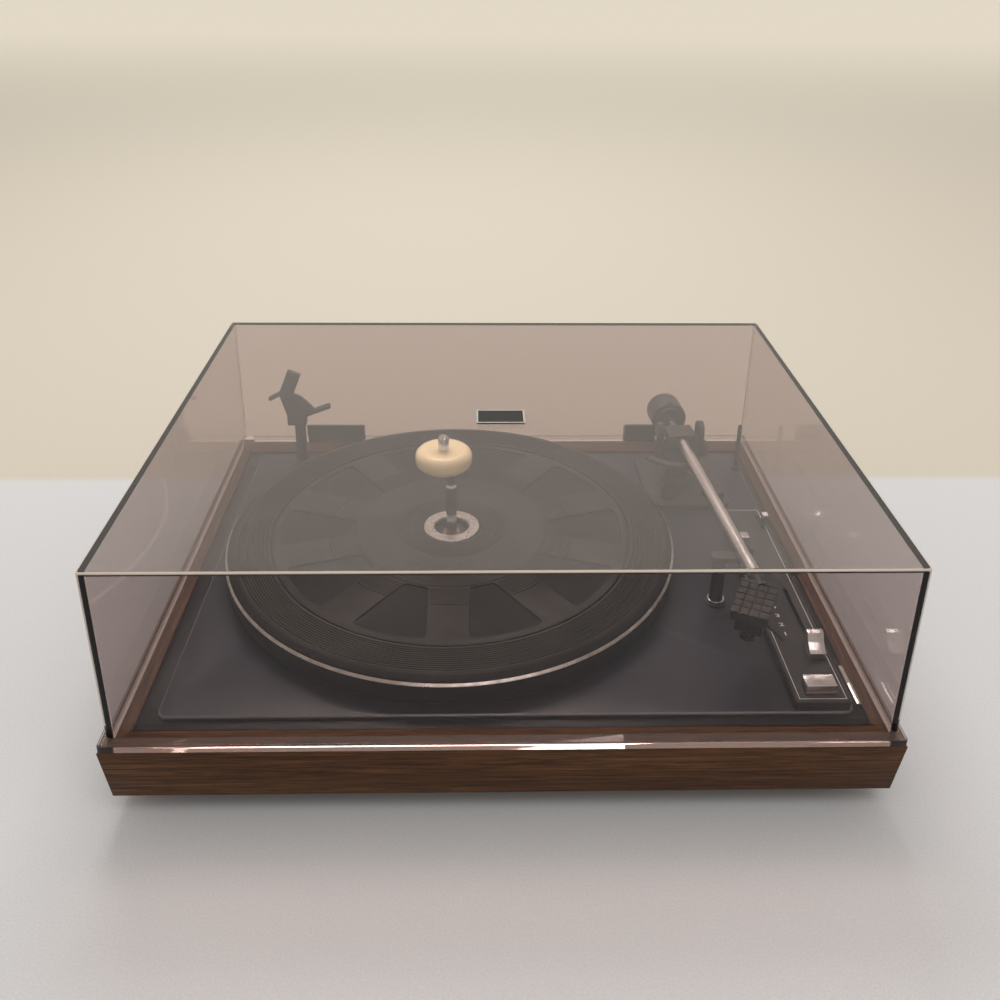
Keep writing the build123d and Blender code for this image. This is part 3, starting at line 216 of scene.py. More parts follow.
def floor_material():
    """Pale cool floor under the object, turning to warm cream behind it, which is painted paler further back
    to make up for the lamps' falloff.
    """
    n = Nodes("floor_pale")
    axes = n.add("ShaderNodeSeparateXYZ")
    n.link(n.place, axes.inputs[0])

    def band(start, end):
        node = n.add("ShaderNodeMapRange", interpolation_type="SMOOTHSTEP")
        node.inputs["From Min"].default_value = start
        node.inputs["From Max"].default_value = end
        n.link(axes.outputs["Y"], node.inputs["Value"])
        return node.outputs["Result"]

    # the ground behind grows paler with distance: painted light for the lamps' falloff
    behind = n.blend(band(*WALL_FADE), WALL_NEAR, WALL_FAR)
    tone = n.blend(band(*WALL_EDGE), FLOOR_TONE, behind)
    speck = n.ramp(n.noise(0.0012, 3.0), (0.3, 0.93), (0.7, 1.05))
    n.colour(n.blend(1.0, tone, speck, "MULTIPLY"))
    n.set(Roughness=FLOOR_ROUGH)
    n.bump(n.noise(0.0016, 3.0), 0.0002, 0.35)
    return n.material


# ---------------------------------------------------------------- materials
BLACK = (0.0150, 0.0148, 0.0150)
METAL = {"metal": 1.0}
# slot: dark and light colour, size of the patches, lowest and highest roughness, relief, further settings
FINISHES = {
    "raw_wood": ((0.36, 0.22, 0.12), (0.52, 0.36, 0.21), 0.02, (0.65, 0.85), 0.0001, {"stretch": (1, 1, 8)}),
    "hardboard": ((0.13, 0.075, 0.04), (0.20, 0.12, 0.065), 0.03, (0.6, 0.8), 0.0001, {}),
    "black_board": ((0.006, 0.0065, 0.0085), (0.010, 0.0105, 0.0125), 0.04, (0.40, 0.5), 0.00002,
                    {"Specular_IOR_Level": 0.25}),
    "platter_enamel": ((0.0110, 0.0120, 0.0165), (0.0140, 0.0150, 0.0200), 0.05, (0.28, 0.34), 0.000001,
                       {"grain": 0.002, "Specular_IOR_Level": 0.35}),
    "soft_rubber": ((0.013, 0.013, 0.013), (0.024, 0.024, 0.023), 0.02, (0.6, 0.82), 0.0001, {}),
    "chrome_plate": ((0.56, 0.57, 0.59), (0.68, 0.69, 0.71), 0.01, (0.14, 0.22), 0.000002, METAL),
    "bright_steel": ((0.46, 0.46, 0.47), (0.62, 0.62, 0.61), 0.004, (0.22, 0.38), 0.00002, METAL),
    "brass_part": ((0.16, 0.115, 0.06), (0.24, 0.175, 0.10), 0.006, (0.2, 0.35), 0.00002, METAL),
    "motor_steel": ((0.32, 0.32, 0.33), (0.45, 0.45, 0.45), 0.008, (0.32, 0.5), 0.00003, METAL),
    "black_moulding": (BLACK, (0.028, 0.027, 0.027), 0.012, (0.42, 0.56), 0.00001,
                       {"Specular_IOR_Level": 0.35}),
    "stylus_moulding": (BLACK, (0.017, 0.017, 0.018), 0.006, (0.22, 0.34), 0.00001, {}),
    "panel_moulding": ((0.016, 0.0165, 0.0185), (0.022, 0.0225, 0.0245), 0.03, (0.32, 0.42), 0.000003,
                       {"Specular_IOR_Level": 0.3}),
    "arm_alloy": ((0.50, 0.50, 0.51), (0.64, 0.64, 0.64), 0.01, (0.26, 0.36), 0.00001,
                  {"metal": 1.0, "stretch": (1, 10, 1)}),
    "weight_black": ((0.012, 0.012, 0.013), (0.022, 0.022, 0.022), 0.01, (0.35, 0.5), 0.00006, {}),
    "gear_nylon": ((0.60, 0.56, 0.46), (0.72, 0.69, 0.60), 0.01, (0.35, 0.5), 0.00003, {}),
    "badge_black": ((0.006, 0.006, 0.006), (0.010, 0.010, 0.010), 0.01, (0.34, 0.42), 0.000002,
                    {"Specular_IOR_Level": 0.3}),
}
MAT_HOLLOW_SHADE = (1.15 * MM, 0.45 * MM)   # how far below the mat's top its painted hollow shade starts to lift, and where the raised faces' colour is full
LAY_SCALE = 4000.0                  # turning marks of the hub ring, per metre of radius
ACRYLIC_IOR = 1.37
EDGE_HIGHLIGHT_FROM = 12 * MM                # the cover's edges carry a painted pale highlight from this far above its foot
DUST_FILM = 0.975                   # share of light that a dusty upward face lets through
SMOKE_TINT, SMOKE_DENSITY = (0.30, 0.11, 0.06, 1), 112.0
SHADOW_TINT = (0.88, 0.86, 0.85, 1)


def walnut(name, along):
    """Dark walnut-grain vinyl whose fine streaks run along axis 0 (X) or 1 (Y)."""
    n = Nodes(name)

    def stretched(length, width):
        return tuple(length if axis == along else width for axis in range(3))

    warp = n.noise(stretched(0.09, 0.012), 2.0, offset=3.1)
    shifted = n.add("ShaderNodeVectorMath", operation="MULTIPLY_ADD")
    shifted.inputs[1].default_value = tuple(0.0 if axis == along else 0.0035 for axis in range(3))
    n.link(warp, shifted.inputs[0])
    n.link(n.place, shifted.inputs[2])
    n.place = shifted.outputs["Vector"]
    broad = n.noise(stretched(0.16, 0.0045), 3.0, 0.6)
    fine = n.noise(stretched(0.05, 0.0007), 5.0, 0.68, offset=7.7)
    pores = n.noise(stretched(0.022, 0.00045), 2.0, 0.5, offset=1.9)
    tone = n.ramp(broad, (0.30, (0.046, 0.0185, 0.0066)), (0.52, (0.064, 0.0270, 0.0098)),
                  (0.72, (0.086, 0.0385, 0.0150)))
    streak = n.ramp(fine, (0.38, 0.40), (0.5, 0.95), (0.62, 1.55))
    tone = n.blend(1.0, tone, streak, "MULTIPLY")
    pore = n.ramp(pores, (0.34, 0.35), (0.44, 1.0))
    n.colour(n.blend(0.75, tone, pore, "MULTIPLY"))
    n.roughness(n.ramp(fine, (0.3, 0.55), (0.7, 0.42)))
    n.set(Specular_IOR_Level=0.22)
    n.bump(pores, 0.00006, 0.3)
    return n.material


def plain(name, dark, light, patch, rough, relief, metal=0.0, grain=0.0004, stretch=(1, 1, 1), **sockets):
    """A finish that wanders between two colours and between two roughnesses, with fine relief."""
    n = Nodes(name)
    wide = n.noise(tuple(patch * s for s in stretch), 4.0)
    small = n.noise(tuple(grain * s for s in stretch), 3.0, 0.6, offset=5.3)
    n.colour(n.ramp(wide, (0.32, dark), (0.68, light)))
    n.roughness(n.ramp(n.blend(0.5, wide, small), (0.36, rough[0]), (0.64, rough[1])))
    n.set(Metallic=metal, **sockets)
    n.bump(small, relief)
    return n.material


def mat_rubber():
    """Black rubber, darkened by painted shade in its hollows, and browner on its raised faces where dust has
    settled.
    """
    n = Nodes("mat_rubber")
    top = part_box("platter_mat")[1].z
    axes = n.add("ShaderNodeSeparateXYZ")
    n.link(n.place, axes.inputs[0])
    raised = n.add("ShaderNodeMapRange", interpolation_type="SMOOTHSTEP")
    raised.inputs["From Min"].default_value = top - MAT_HOLLOW_SHADE[0]
    raised.inputs["From Max"].default_value = top - MAT_HOLLOW_SHADE[1]
    n.link(axes.outputs["Z"], raised.inputs["Value"])
    cloud = n.noise(0.034, 5.0, 0.62)
    speck = n.noise(0.0009, 3.0, 0.7, offset=2.2)
    # in both tones the hollows' darker colour is painted shade
    clean = n.blend(raised.outputs["Result"], (0.0034, 0.0037, 0.0042), (0.0145, 0.0136, 0.0128))
    dusty = n.blend(raised.outputs["Result"], (0.0065, 0.0066, 0.0070), (0.0360, 0.0320, 0.0285))
    tone = n.blend(n.ramp(cloud, (0.40, 0.0), (0.72, 1.0)), clean, dusty)
    n.colour(n.blend(0.10, tone, n.ramp(speck, (0.3, 0.6), (0.72, 1.5)), "MULTIPLY"))
    n.roughness(n.ramp(cloud, (0.4, 0.42), (0.7, 0.58)))
    n.set(Specular_IOR_Level=0.14)
    return n.material


def deck_enamel():
    """Charcoal enamel with a painted highlight along its rolled edges, which are also glossier."""
    n = Nodes("deck_enamel")
    rim_highlight, _ = edge_share(n)
    wide = n.noise(0.12)
    small = n.noise(0.004, 3.0, 0.6, offset=5.3)
    tone = n.ramp(wide, (0.32, (0.0165, 0.0192, 0.0285)), (0.68, (0.0205, 0.0232, 0.0330)))
    # the rolled edges' pale colour is a painted highlight
    n.colour(n.blend(rim_highlight, tone, (0.085, 0.088, 0.096)))
    satin = n.ramp(n.blend(0.5, wide, small), (0.36, 0.30), (0.64, 0.34))
    n.roughness(n.blend(rim_highlight, satin, (0.18, 0.18, 0.18)))
    n.link(n.ramp(rim_highlight, (0.0, 0.24), (1.0, 0.9)), n.shader.inputs["Specular IOR Level"])
    n.bump(small, 0.0000005)
    return n.material


def hub_alloy():
    """Turned alloy with a circular lay and a little tarnish."""
    n = Nodes("polished_alloy")
    low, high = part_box("platter_trim_ring")
    centre = (low + high) / 2
    span = n.add("ShaderNodeVectorMath", operation="DISTANCE")
    flat = n.add("ShaderNodeVectorMath", operation="MULTIPLY")
    flat.inputs[1].default_value = (1, 1, 0)
    n.link(n.place, flat.inputs[0])
    n.link(flat.outputs["Vector"], span.inputs[0])
    span.inputs[1].default_value = (centre.x, centre.y, 0)
    lay = n.add("ShaderNodeTexNoise", noise_dimensions="1D")
    lay.inputs["Scale"].default_value = LAY_SCALE
    lay.inputs["Detail"].default_value = 3.0
    n.link(span.outputs["Value"], lay.inputs["W"])
    tarnish = n.noise(0.006, 4.0, 0.6)
    n.colour(n.ramp(tarnish, (0.3, (0.34, 0.325, 0.30)), (0.7, (0.56, 0.55, 0.53))))
    n.roughness(n.ramp(tarnish, (0.35, 0.36), (0.7, 0.24)))
    n.set(Metallic=1.0)
    n.bump(lay.outputs["Fac"], 0.00002, 0.5)
    return n.material


def edge_share(n):
    """Two shares by where a face looks: one for rounded edges, one for faces that look straight up."""
    normal = n.add("ShaderNodeTexCoord").outputs["Normal"]
    signed = n.add("ShaderNodeSeparateXYZ")
    n.link(normal, signed.inputs[0])
    upright = signed.outputs["Z"]
    size = n.add("ShaderNodeVectorMath", operation="ABSOLUTE")
    n.link(normal, size.inputs[0])
    axes = n.add("ShaderNodeSeparateXYZ")
    n.link(size.outputs["Vector"], axes.inputs[0])
    largest = axes.outputs["X"]
    for name in ("Y", "Z"):
        pick = n.add("ShaderNodeMath", operation="MAXIMUM")
        n.link(largest, pick.inputs[0])
        n.link(axes.outputs[name], pick.inputs[1])
        largest = pick.outputs["Value"]
    return n.ramp(largest, (0.93, 1.0), (0.985, 0.0)), n.ramp(upright, (0.985, 0.0), (0.995, 1.0))


def smoked_acrylic():
    """Acrylic that darkens by its thickness, with a painted pale highlight on its rougher edges and a film of
    dust on its upward faces.

    Shadow rays pass straight through, so the lamps light what it covers.
    """
    n = Nodes("smoked_acrylic")
    n.set(IOR=ACRYLIC_IOR)
    edge, upward = edge_share(n)
    heights = n.add("ShaderNodeSeparateXYZ")
    n.link(n.place, heights.inputs[0])
    above = n.add("ShaderNodeMath", operation="GREATER_THAN")
    n.link(heights.outputs["Z"], above.inputs[0])
    above.inputs[1].default_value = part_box("dust_cover")[0].z + EDGE_HIGHLIGHT_FROM
    edge_highlight = n.blend(above.outputs["Value"], (0, 0, 0), edge)
    haze = n.ramp(n.noise(0.05, 4.0, 0.6), (0.45, 0.0), (0.8, 0.045))
    n.roughness(n.blend(edge_highlight, haze, (0.30, 0.30, 0.30)))
    # the edges' pale colour and lower clearness are a painted highlight
    n.colour(n.blend(edge_highlight, (1, 1, 1), (0.92, 0.80, 0.72)))
    clear = n.blend(upward, n.ramp(edge_highlight, (0.0, 1.0), (1.0, 0.55)), (DUST_FILM,) * 3)
    n.link(clear, n.shader.inputs["Transmission Weight"])
    smoke = n.add("ShaderNodeVolumeAbsorption")
    smoke.inputs["Color"].default_value = SMOKE_TINT
    smoke.inputs["Density"].default_value = SMOKE_DENSITY
    light_path = n.add("ShaderNodeLightPath")
    passing = n.add("ShaderNodeBsdfTransparent")
    passing.inputs["Color"].default_value = SHADOW_TINT
    mix = n.add("ShaderNodeMixShader")
    output = n.tree.nodes["Material Output"]
    n.link(light_path.outputs["Is Shadow Ray"], mix.inputs["Fac"])
    n.link(n.shader.outputs["BSDF"], mix.inputs[1])
    n.link(passing.outputs["BSDF"], mix.inputs[2])
    n.link(mix.outputs["Shader"], output.inputs["Surface"])
    n.link(smoke.outputs["Volume"], output.inputs["Volume"])
    return n.material


def cream_moulding():
    """Aged cream plastic with a faint swirl and a glossy skin."""
    n = Nodes("cream_moulding")
    swirl = n.noise((0.014, 0.02, 0.006), 4.0, 0.6)
    n.colour(n.ramp(swirl, (0.3, (0.84, 0.715, 0.420)), (0.7, (0.93, 0.830, 0.560))))
    n.roughness(n.ramp(n.noise(0.004, 3.0), (0.35, 0.12), (0.7, 0.22)))
    n.set(Subsurface_Weight=0.12, Subsurface_Radius=(0.004, 0.002, 0.001), Subsurface_Scale=1.0, IOR=1.5)
    n.bump(swirl, 0.00015, 0.3)
    return n.material


def make_materials():
    """One finish for each of the record's material slots."""
    made = {slot: plain(slot, *row, **settings) for slot, (*row, settings) in FINISHES.items()}
    made.update({"deck_enamel": deck_enamel(), "polished_alloy": hub_alloy(), "mat_rubber": mat_rubber(),
                 "cream_moulding": cream_moulding(), "smoked_acrylic": smoked_acrylic()})
    return made


# ---------------------------------------------------------------- mesh helpers
MERGE_GAP = 2e-6             # points of a CAD mesh that are closer than this are one
FLAT_ANGLE = radians(0.4)    # faces that meet flatter than this are one
EDGE_ANGLE = radians(24)     # edges sharper than this are rounded
ROUND_STEPS = 3


def finish_mesh(name, bm, slot, nodes, material=None, take_over=True):
    """Turns a bmesh into a shaded piece that rides with its CAD node and, if asked, takes its place."""
    bmesh.ops.recalc_face_normals(bm, faces=bm.faces)
    mesh = bpy.data.meshes.new(name)
    bm.to_mesh(mesh)
    bm.free()
    mesh.polygons.foreach_set("use_smooth", [True] * len(mesh.polygons))
    mesh.set_sharp_from_angle(angle=SMOOTH_ANGLE)
    mesh.materials.append(material or MATERIALS[slot])
    piece = bpy.data.objects.new(name, mesh)
    bpy.context.scene.collection.objects.link(piece)
    if take_over:
        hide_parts(*nodes)
    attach(piece, BODY_OF[nodes[0]])
    return piece


def cad_mesh(node):
    """A CAD node's own mesh with its doubled points merged and its flat faces joined."""
    bm = bmesh.new()
    bm.from_mesh(frame["nodes"][node].data)
    bmesh.ops.remove_doubles(bm, verts=bm.verts, dist=MERGE_GAP)
    bmesh.ops.dissolve_limit(bm, angle_limit=FLAT_ANGLE, verts=bm.verts, edges=bm.edges)
    return bm


def refined(node, width, material=None):
    """A CAD node's own shape with its sharp edges rounded by a real width."""
    bm = cad_mesh(node)
    sharp = [e for e in bm.edges if e.is_manifold and e.calc_face_angle(0.0) > EDGE_ANGLE]
    bmesh.ops.bevel(bm, geom=sharp, offset=width, segments=ROUND_STEPS, profile=0.5, affect="EDGES",
                    clamp_overlap=True)
    return finish_mesh(node + "_finished", bm, SLOT_OF[node], [node], material)


def lathe_into(bm, profile, centre, closed):
    """Adds rings of points for a profile of (radius, height) to a bmesh and joins them with faces."""
    rings = []
    for radius, height in profile:
        rings.append([bm.verts.new((centre.x + radius * cos(2 * pi * k / SEGMENTS),
                                    centre.y + radius * sin(2 * pi * k / SEGMENTS), height))
                      for k in range(SEGMENTS)])
    pairs = list(zip(rings, rings[1:]))
    if closed:
        pairs.append((rings[-1], rings[0]))
    for lower, upper in pairs:
        for k in range(SEGMENTS):
            after = (k + 1) % SEGMENTS
            bm.faces.new((lower[k], lower[after], upper[after], upper[k]))
    return rings


def rounded_profile(corners, radius, steps=4):
    """A closed outline of (radius, height) corners with each corner rounded."""
    points = []
    count = len(corners)
    for k, here in enumerate(corners):
        here = Vector(here)
        before = Vector(corners[k - 1]) - here
        after = Vector(corners[(k + 1) % count]) - here
        reach = min(radius, before.length * 0.45, after.length * 0.45)
        start, end = here + before.normalized() * reach, here + after.normalized() * reach
        for step in range(steps + 1):
            t = step / steps
            points.append(tuple(start * (1 - t) ** 2 + here * 2 * t * (1 - t) + end * t ** 2))
    return points


def turned(node, corners, radius):
    """A closed turned piece about the middle of its CAD node, its corners rounded."""
    low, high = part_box(node)
    bm = bmesh.new()
    lathe_into(bm, rounded_profile(corners, radius), (low + high) / 2, True)
    return finish_mesh(node + "_finished", bm, SLOT_OF[node], [node])


# ---------------------------------------------------------------- platter
SPOKES = 10
FIRST_SPOKE = radians(-90)
SPOKE_HALF = 12.6 * MM
POCKET_IN, POCKET_OUT = 66.5 * MM, 115.5 * MM
POCKET_CORNER = 4.0 * MM
LABEL_R = 65.2 * MM
RING_H = 1.4 * MM            # height of the bright ring that the mat's rim lies on
RING_COVER = 2.5 * MM        # how far the mat's rim reaches out over the ring
RIM_START = 118.5 * MM
SPOKE_GROOVE = 121.4 * MM    # the deep groove outside the spoke field
LABEL_BORE = 19.6 * MM
# a band of grooves: start, end, count, depth
RIM_GROOVES = (123.2 * MM, 142.4 * MM, 11, 0.95 * MM)
LABEL_GROOVES = (21.5 * MM, 36.5 * MM, 7, 0.45 * MM)
# one groove's section: shares of its pitch and of its depth
GROOVE = ((0.0, 0.15), (0.12, 0.0), (0.5, 0.0), (0.62, 0.2), (0.72, 0.9), (0.84, 1.0), (0.94, 0.8))
# a sunk field's wall in millimetres: inset, drop
FIELD_WALL = ((-0.45, 0.0), (-0.2, -0.05), (-0.05, -0.18), (0.0, -0.4), (0.05, -0.72), (0.2, -0.88),
              (0.5, -0.93))
# the ribs on a spoke's inner end: radius, half width, height
SPOKE_RIBS = [((68.2 + 2.0 * k) * MM, 0.5 * MM, 0.32 * MM) for k in range(7)]
SPOKE_RIBS.append((82.6 * MM, 0.75 * MM, 0.5 * MM))
RIB_MARGIN, RIB_STEPS = 0.9 * MM, 12
ADAPTOR_BORE, ADAPTOR_EDGE = 3.68 * MM, 5.4 * MM


def platter_casting():
    """The blue-black platter with its rim wall, softened where it meets the silver ring."""
    low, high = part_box("platter")
    outer = (high.x - low.x) / 2
    bore, rim, wall = 6.05 * MM, 98.0 * MM, 5.0 * MM
    web = high.z - 3 * MM
    hub_low = low.z + 3.6 * MM
    belt_low = low.z + 1.3 * MM
    corners = [
        (bore, hub_low), (15 * MM, hub_low), (17 * MM, web), (rim - 4 * MM, web), (rim - 4 * MM, belt_low),
        (rim, belt_low), (rim, web), (outer - wall, web), (outer - wall + 1 * MM, low.z),
        (outer - 1.5 * MM, low.z), (outer - 0.7 * MM, low.z + 0.8 * MM), (outer, high.z), (bore, high.z),
    ]
    turned("platter", corners, 0.5 * MM)


def trim_ring():
    """The bright bevelled ring between platter and mat."""
    low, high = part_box("platter_trim_ring")
    outer = (high.x - low.x) / 2
    inner = outer - 3.8 * MM
    flat = low.z + RING_H
    corners = [(inner, low.z), (outer, low.z), (outer - 0.15 * MM, low.z + 0.3 * MM),
               (outer - 1.5 * MM, flat), (inner, flat)]
    turned("platter_trim_ring", corners, 0.12 * MM)


def hub_ring():
    """The hub ring with a raised inner lip."""
    low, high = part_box("hub_ring")
    outer = (high.x - low.x) / 2
    inner = 11.5 * MM
    corners = [
        (inner, low.z), (outer, low.z), (outer, high.z - 0.7 * MM), (outer - 0.5 * MM, high.z - 0.1 * MM),
        (inner + 2.2 * MM, high.z - 0.25 * MM), (inner + 1.9 * MM, high.z), (inner + 0.8 * MM, high.z),
        (inner, high.z - 0.9 * MM),
    ]
    turned("hub_ring", corners, 0.15 * MM)


def pocket_outline(inset):
    """One sunk field's closed outline about +X, moved inwards by inset, with as many points for any inset."""
    half = pi / SPOKES
    along, inward = Vector((cos(half), sin(half))), Vector((sin(half), -cos(half)))
    side, corner = SPOKE_HALF + inset, POCKET_CORNER - inset
    outer, inner = POCKET_OUT - inset, POCKET_IN + inset
    far = along * sqrt((outer - corner) ** 2 - (side + corner) ** 2) + inward * (side + corner)
    near = along * sqrt((inner + corner) ** 2 - (side + corner) ** 2) + inward * (side + corner)
    line_angle = atan2(-inward.y, -inward.x)
    far_angle, near_angle = atan2(far.y, far.x), atan2(near.y, near.x)

    def arc(centre, radius, start, end, steps):
        turns = [start + (end - start) * k / steps for k in range(steps + 1)]
        return [centre + Vector((radius * cos(t), radius * sin(t))) for t in turns]

    upper = arc(Vector((0, 0)), outer, 0, far_angle, 14)
    upper += arc(far, corner, far_angle, line_angle, 8)[1:]
    upper += arc(near, corner, line_angle, near_angle + pi, 8)
    upper += arc(Vector((0, 0)), inner, near_angle, 0, 8)[1:]
    lower = [Vector((p.x, -p.y)) for p in reversed(upper[1:-1])]
    return upper + lower


def grooved(start, end, count, depth, top):
    """Profile points for a band of rounded grooves between two radii."""
    pitch = (end - start) / count
    points = []
    for number in range(count):
        r = start + pitch * number
        for share, drop in GROOVE:
            points.append((r + pitch * share, top - depth * drop))
    return points


def mat_profile(low, high, outer):
    """The mat's section from the spoke field outwards, round underneath, and in to the label's edge."""
    top, field = high, high - 0.5 * MM
    groove_r = SPOKE_GROOVE
    lip = outer + RING_COVER
    section = [(RIM_START, field), (groove_r - 1.1 * MM, field), (groove_r - 0.5 * MM, field - 0.3 * MM),
               (groove_r - 0.3 * MM, field - 1.3 * MM), (groove_r + 0.5 * MM, field - 1.3 * MM),
               (groove_r + 0.6 * MM, top - 0.5 * MM), (groove_r + 1.0 * MM, top - 0.2 * MM)]
    section += grooved(*RIM_GROOVES, top)
    section += [(142.6 * MM, top), (143.2 * MM, top), (143.8 * MM, top - 0.25 * MM),
                (outer, low + 3.0 * MM), (lip - 0.5 * MM, low + 2.4 * MM), (lip, low + 2.0 * MM),
                (lip, low + RING_H + 0.05 * MM), (outer, low + RING_H + 0.05 * MM),
                (outer, low), (LABEL_BORE, low), (LABEL_BORE, top - 0.3 * MM), (LABEL_BORE + 0.3 * MM, top)]
    section += grooved(*LABEL_GROOVES, top)
    section += [(37.0 * MM, top), (62.8 * MM, top), (63.4 * MM, top - 0.12 * MM),
                (63.7 * MM, top - 0.12 * MM), (64.3 * MM, top), (64.8 * MM, top - 0.1 * MM),
                (LABEL_R - 0.1 * MM, top - 0.3 * MM), (LABEL_R, field)]
    return section, field


def record_mat():
    """The ribbed rubber mat: label disc, ten spokes between sunk fields, fine grooves and a sloping rim."""
    low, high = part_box("platter_mat")
    centre = (low + high) / 2
    outer = (high.x - low.x) / 2
    section, field = mat_profile(low.z, high.z, outer)
    bm = bmesh.new()
    rings = lathe_into(bm, section, centre, False)
    edges = [bm.edges.get((ring[k], ring[(k + 1) % SEGMENTS]))
             for ring in (rings[0], rings[-1]) for k in range(SEGMENTS)]
    for number in range(SPOKES):
        turn = Matrix.Rotation(FIRST_SPOKE + (number + 0.5) * 2 * pi / SPOKES, 2)
        loops = []
        for inset, drop in FIELD_WALL:
            points = [turn @ p for p in pocket_outline(inset * MM)]
            loops.append([bm.verts.new((centre.x + p.x, centre.y + p.y, field + drop * MM)) for p in points])
        count = len(loops[0])
        for upper, lower in zip(loops, loops[1:]):
            for k in range(count):
                after = (k + 1) % count
                bm.faces.new((upper[k], upper[after], lower[after], lower[k]))
        bm.faces.new(loops[-1])
        edges += [bm.edges.get((loops[0][k], loops[0][(k + 1) % count])) for k in range(count)]
    bmesh.ops.triangle_fill(bm, edges=edges, use_beauty=True)
    finish_mesh("platter_mat_finished", bm, "mat_rubber", ["platter_mat"])
    spoke_ribs(centre, field)


def spoke_ribs(centre, field):
    """Fine curved ribs across the inner end of each spoke, closed by one heavier rib."""
    bm = bmesh.new()
    for number in range(SPOKES):
        middle = FIRST_SPOKE + number * 2 * pi / SPOKES
        for radius, half, height in SPOKE_RIBS:
            reach = asin((SPOKE_HALF - RIB_MARGIN) / radius)
            section = [(-half, -0.1 * MM), (-half * 0.7, height * 0.8), (-half * 0.3, height),
                       (half * 0.3, height), (half * 0.7, height * 0.8), (half, -0.1 * MM)]
            slices = []
            for step in range(RIB_STEPS + 1):
                angle = middle - reach + 2 * reach * step / RIB_STEPS
                slices.append([bm.verts.new((centre.x + (radius + dr) * cos(angle),
                                             centre.y + (radius + dr) * sin(angle), field + dz))
                               for dr, dz in section])
            for first, second in zip(slices, slices[1:]):
                for k in range(len(section)):
                    after = (k + 1) % len(section)
                    bm.faces.new((first[k], first[after], second[after], second[k]))
            bm.faces.new(slices[0])
            bm.faces.new(slices[-1])
    finish_mesh("mat_spoke_ribs", bm, "mat_rubber", ["platter_mat"], take_over=False)


def adaptor():
    """The cream adaptor: a thick puck with full soft edges and a bored middle."""
    low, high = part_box("adaptor_45")
    outer = (high.x - low.x) / 2
    bore = ADAPTOR_BORE
    centre = (low + high) / 2
    profile = [(bore, low.z + 0.4 * MM), (bore + 0.4 * MM, low.z)]
    profile += bulge(outer, low.z, high.z, ADAPTOR_EDGE)
    profile += [(bore + 2.6 * MM, high.z), (bore + 2.2 * MM, high.z - 0.25 * MM),
                (bore + 0.3 * MM, high.z - 0.25 * MM), (bore, high.z - 0.5 * MM)]
    bm = bmesh.new()
    lathe_into(bm, profile, centre, True)
    finish_mesh("adaptor_45_finished", bm, "cream_moulding", ["adaptor_45"])


def bulge(outer, z0, z1, radius, steps=10):
    """Profile points up a puck's side with a quarter round at the bottom and at the top."""
    points = []
    for base, start in ((z0 + radius, -pi / 2), (z1 - radius, 0.0)):
        for step in range(steps + 1):
            angle = start + pi / 2 * step / steps
            points.append((outer - radius + radius * cos(angle), base + radius * sin(angle)))
    return points


# ---------------------------------------------------------------- control strip
MARK_LIFT = 0.04 * MM        # how far the printed marks stand above the strip
OUTLINE_INSET, OUTLINE_W = 2.4 * MM, 0.32 * MM
NUMERALS, NUMERAL_H, NUMERAL_PITCH = 6, 5.4 * MM, 8.75 * MM
NUMERAL_Y, NUMERAL_INSET = -92.3 * MM, 10.6 * MM
NUMERAL_SHAPE = (1.25, 0.8, 1, 1)   # the numbers are wide and low
BADGE_SUNK, BADGE_LINE = 0.2 * MM, 1.1 * MM


def mark_material():
    """Pale grey ink of the strip's marks."""
    return plain("mark_ink", (0.62, 0.62, 0.62), (0.76, 0.76, 0.76), 0.003, (0.4, 0.55), 0.000005)


def flat_frame(bm, x0, x1, y0, y1, width, z0, z1):
    """A thin raised rectangular line with mitred corners."""
    loops = []
    for inset, z in ((0, z0), (0, z1), (width, z1), (width, z0)):
        left, right, front, back = x0 + inset, x1 - inset, y0 + inset, y1 - inset
        corners = ((left, front), (right, front), (right, back), (left, back))
        loops.append([bm.verts.new((x, y, z)) for x, y in corners])
    for first, second in zip(loops, loops[1:] + loops[:1]):
        for k in range(4):
            after = (k + 1) % 4
            bm.faces.new((first[k], first[after], second[after], second[k]))


def strip_marks():
    """The outline and the plain scale numbers printed on the control strip."""
    low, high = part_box("control_strip")
    top = high.z
    ink = mark_material()
    bm = bmesh.new()
    flat_frame(bm, low.x + OUTLINE_INSET, high.x - OUTLINE_INSET, low.y + OUTLINE_INSET,
               high.y - OUTLINE_INSET, OUTLINE_W, top - 0.05 * MM, top + MARK_LIFT)
    finish_mesh("strip_outline", bm, "panel_moulding", ["control_strip"], ink, take_over=False)
    for number in range(1, NUMERALS + 1):
        place = (low.x + NUMERAL_INSET, NUMERAL_Y + NUMERAL_PITCH * (number - 1), top)
        numeral("scale_number_" + str(number), str(number), place, ink)


def numeral(name, text, place, ink):
    """One printed number as a thin raised mesh."""
    data = bpy.data.curves.new(name, "FONT")
    data.body = text
    data.size = NUMERAL_H
    data.extrude = MARK_LIFT
    data.align_x, data.align_y = "CENTER", "CENTER"
    carrier = bpy.data.objects.new(name + "_outline", data)
    bpy.context.scene.collection.objects.link(carrier)
    bpy.context.view_layer.update()
    graph = bpy.context.evaluated_depsgraph_get()
    mesh = bpy.data.meshes.new_from_object(carrier.evaluated_get(graph))
    bpy.data.objects.remove(carrier)
    mesh.transform(Matrix.Translation(place) @ Matrix.Diagonal(NUMERAL_SHAPE))
    mesh.materials.clear()
    mesh.materials.append(ink)
    piece = bpy.data.objects.new(name, mesh)
    bpy.context.scene.collection.objects.link(piece)
    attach(piece, BODY_OF["control_strip"])


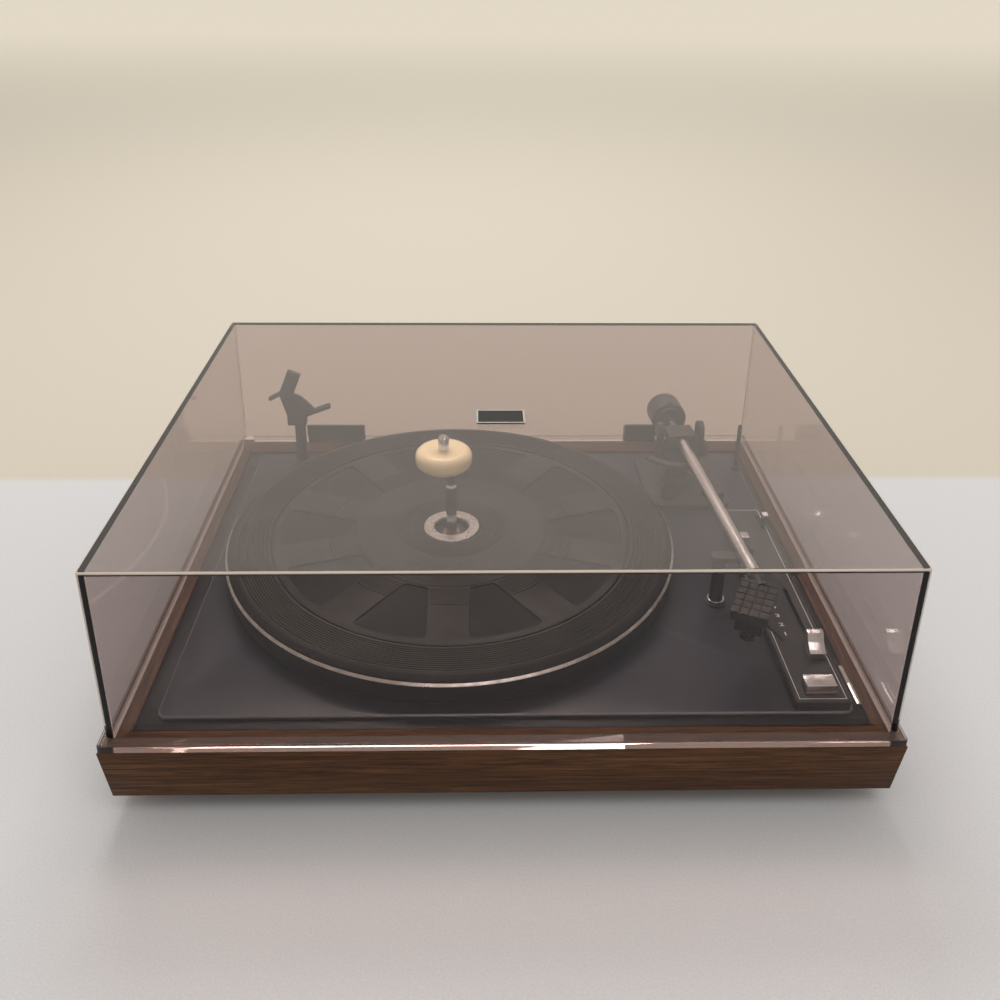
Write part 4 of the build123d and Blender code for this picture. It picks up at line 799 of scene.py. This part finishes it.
def badge():
    """The cover's plain black plate in its silver frame."""
    low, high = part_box("cover_badge")
    bm = cad_mesh("cover_badge")
    for vert in bm.verts:
        vert.co.z = min(vert.co.z, high.z - BADGE_SUNK)
    finish_mesh("cover_badge_plate", bm, "badge_black", ["cover_badge"])
    bm = bmesh.new()
    flat_frame(bm, low.x, high.x, low.y, high.y, BADGE_LINE, low.z, high.z)
    finish_mesh("badge_silver_line", bm, "badge_black", ["cover_badge"], MATERIALS["chrome_plate"],
                take_over=False)


# ---------------------------------------------------------------- the rest of the machine
# how far each piece's edges are rounded, in millimetres
ROUNDING = {
    "plinth_front_board": 0.7, "plinth_back_board": 0.7, "plinth_left_board": 0.7, "plinth_right_board": 0.7,
    "deck_rails": 0.3, "deck_plate": 0.5, "control_strip": 0.25, "programme_slider": 0.3,
    "cycle_button": 0.25, "speed_lever": 0.2,
    "headshell": 0.16, "cartridge": 0.3, "stylus": 0.15, "arm_rest_clip": 0.4, "arm_rest_post": 0.25,
    "arm_rest_collar": 0.25, "record_support_platform": 0.35, "record_support_post": 0.25, "storage_peg": 0.2,
    "arm_base": 0.4, "arm_yoke": 0.4, "arm_block": 0.35, "counterweight": 0.3, "hinge_leaves": 0.4,
    "hinge_bases": 0.4, "cue_lever": 0.2, "cue_lift": 0.3, "multi_play_spindle": 0.15, "short_spindle": 0.2,
    "rubber_feet": 0.5, "arm_pillar": 0.3, "base_panel": 0.3,
}


def board_material(node):
    """The two grain directions of the plinth's boards."""
    return WALNUT_Y if node in ("plinth_left_board", "plinth_right_board") else WALNUT_X


def refine_all():
    """Rounds the edges of every hard piece that the eye can reach."""
    for node, width in ROUNDING.items():
        material = board_material(node) if node.startswith("plinth_") else None
        refined(node, width * MM, material=material)


def paint_cad():
    """Gives every CAD node that still shows its finish."""
    for node, piece in frame["nodes"].items():
        for holder in piece.material_slots:
            holder.material = board_material(node) if SLOT_OF[node] == "walnut" else MATERIALS[SLOT_OF[node]]


make_camera()
make_room()
MATERIALS = make_materials()
WALNUT_X, WALNUT_Y = walnut("walnut_along_x", 0), walnut("walnut_along_y", 1)
MATERIALS["walnut"] = WALNUT_X
paint_cad()
platter_casting()
trim_ring()
hub_ring()
record_mat()
adaptor()
strip_marks()
badge()
refine_all()
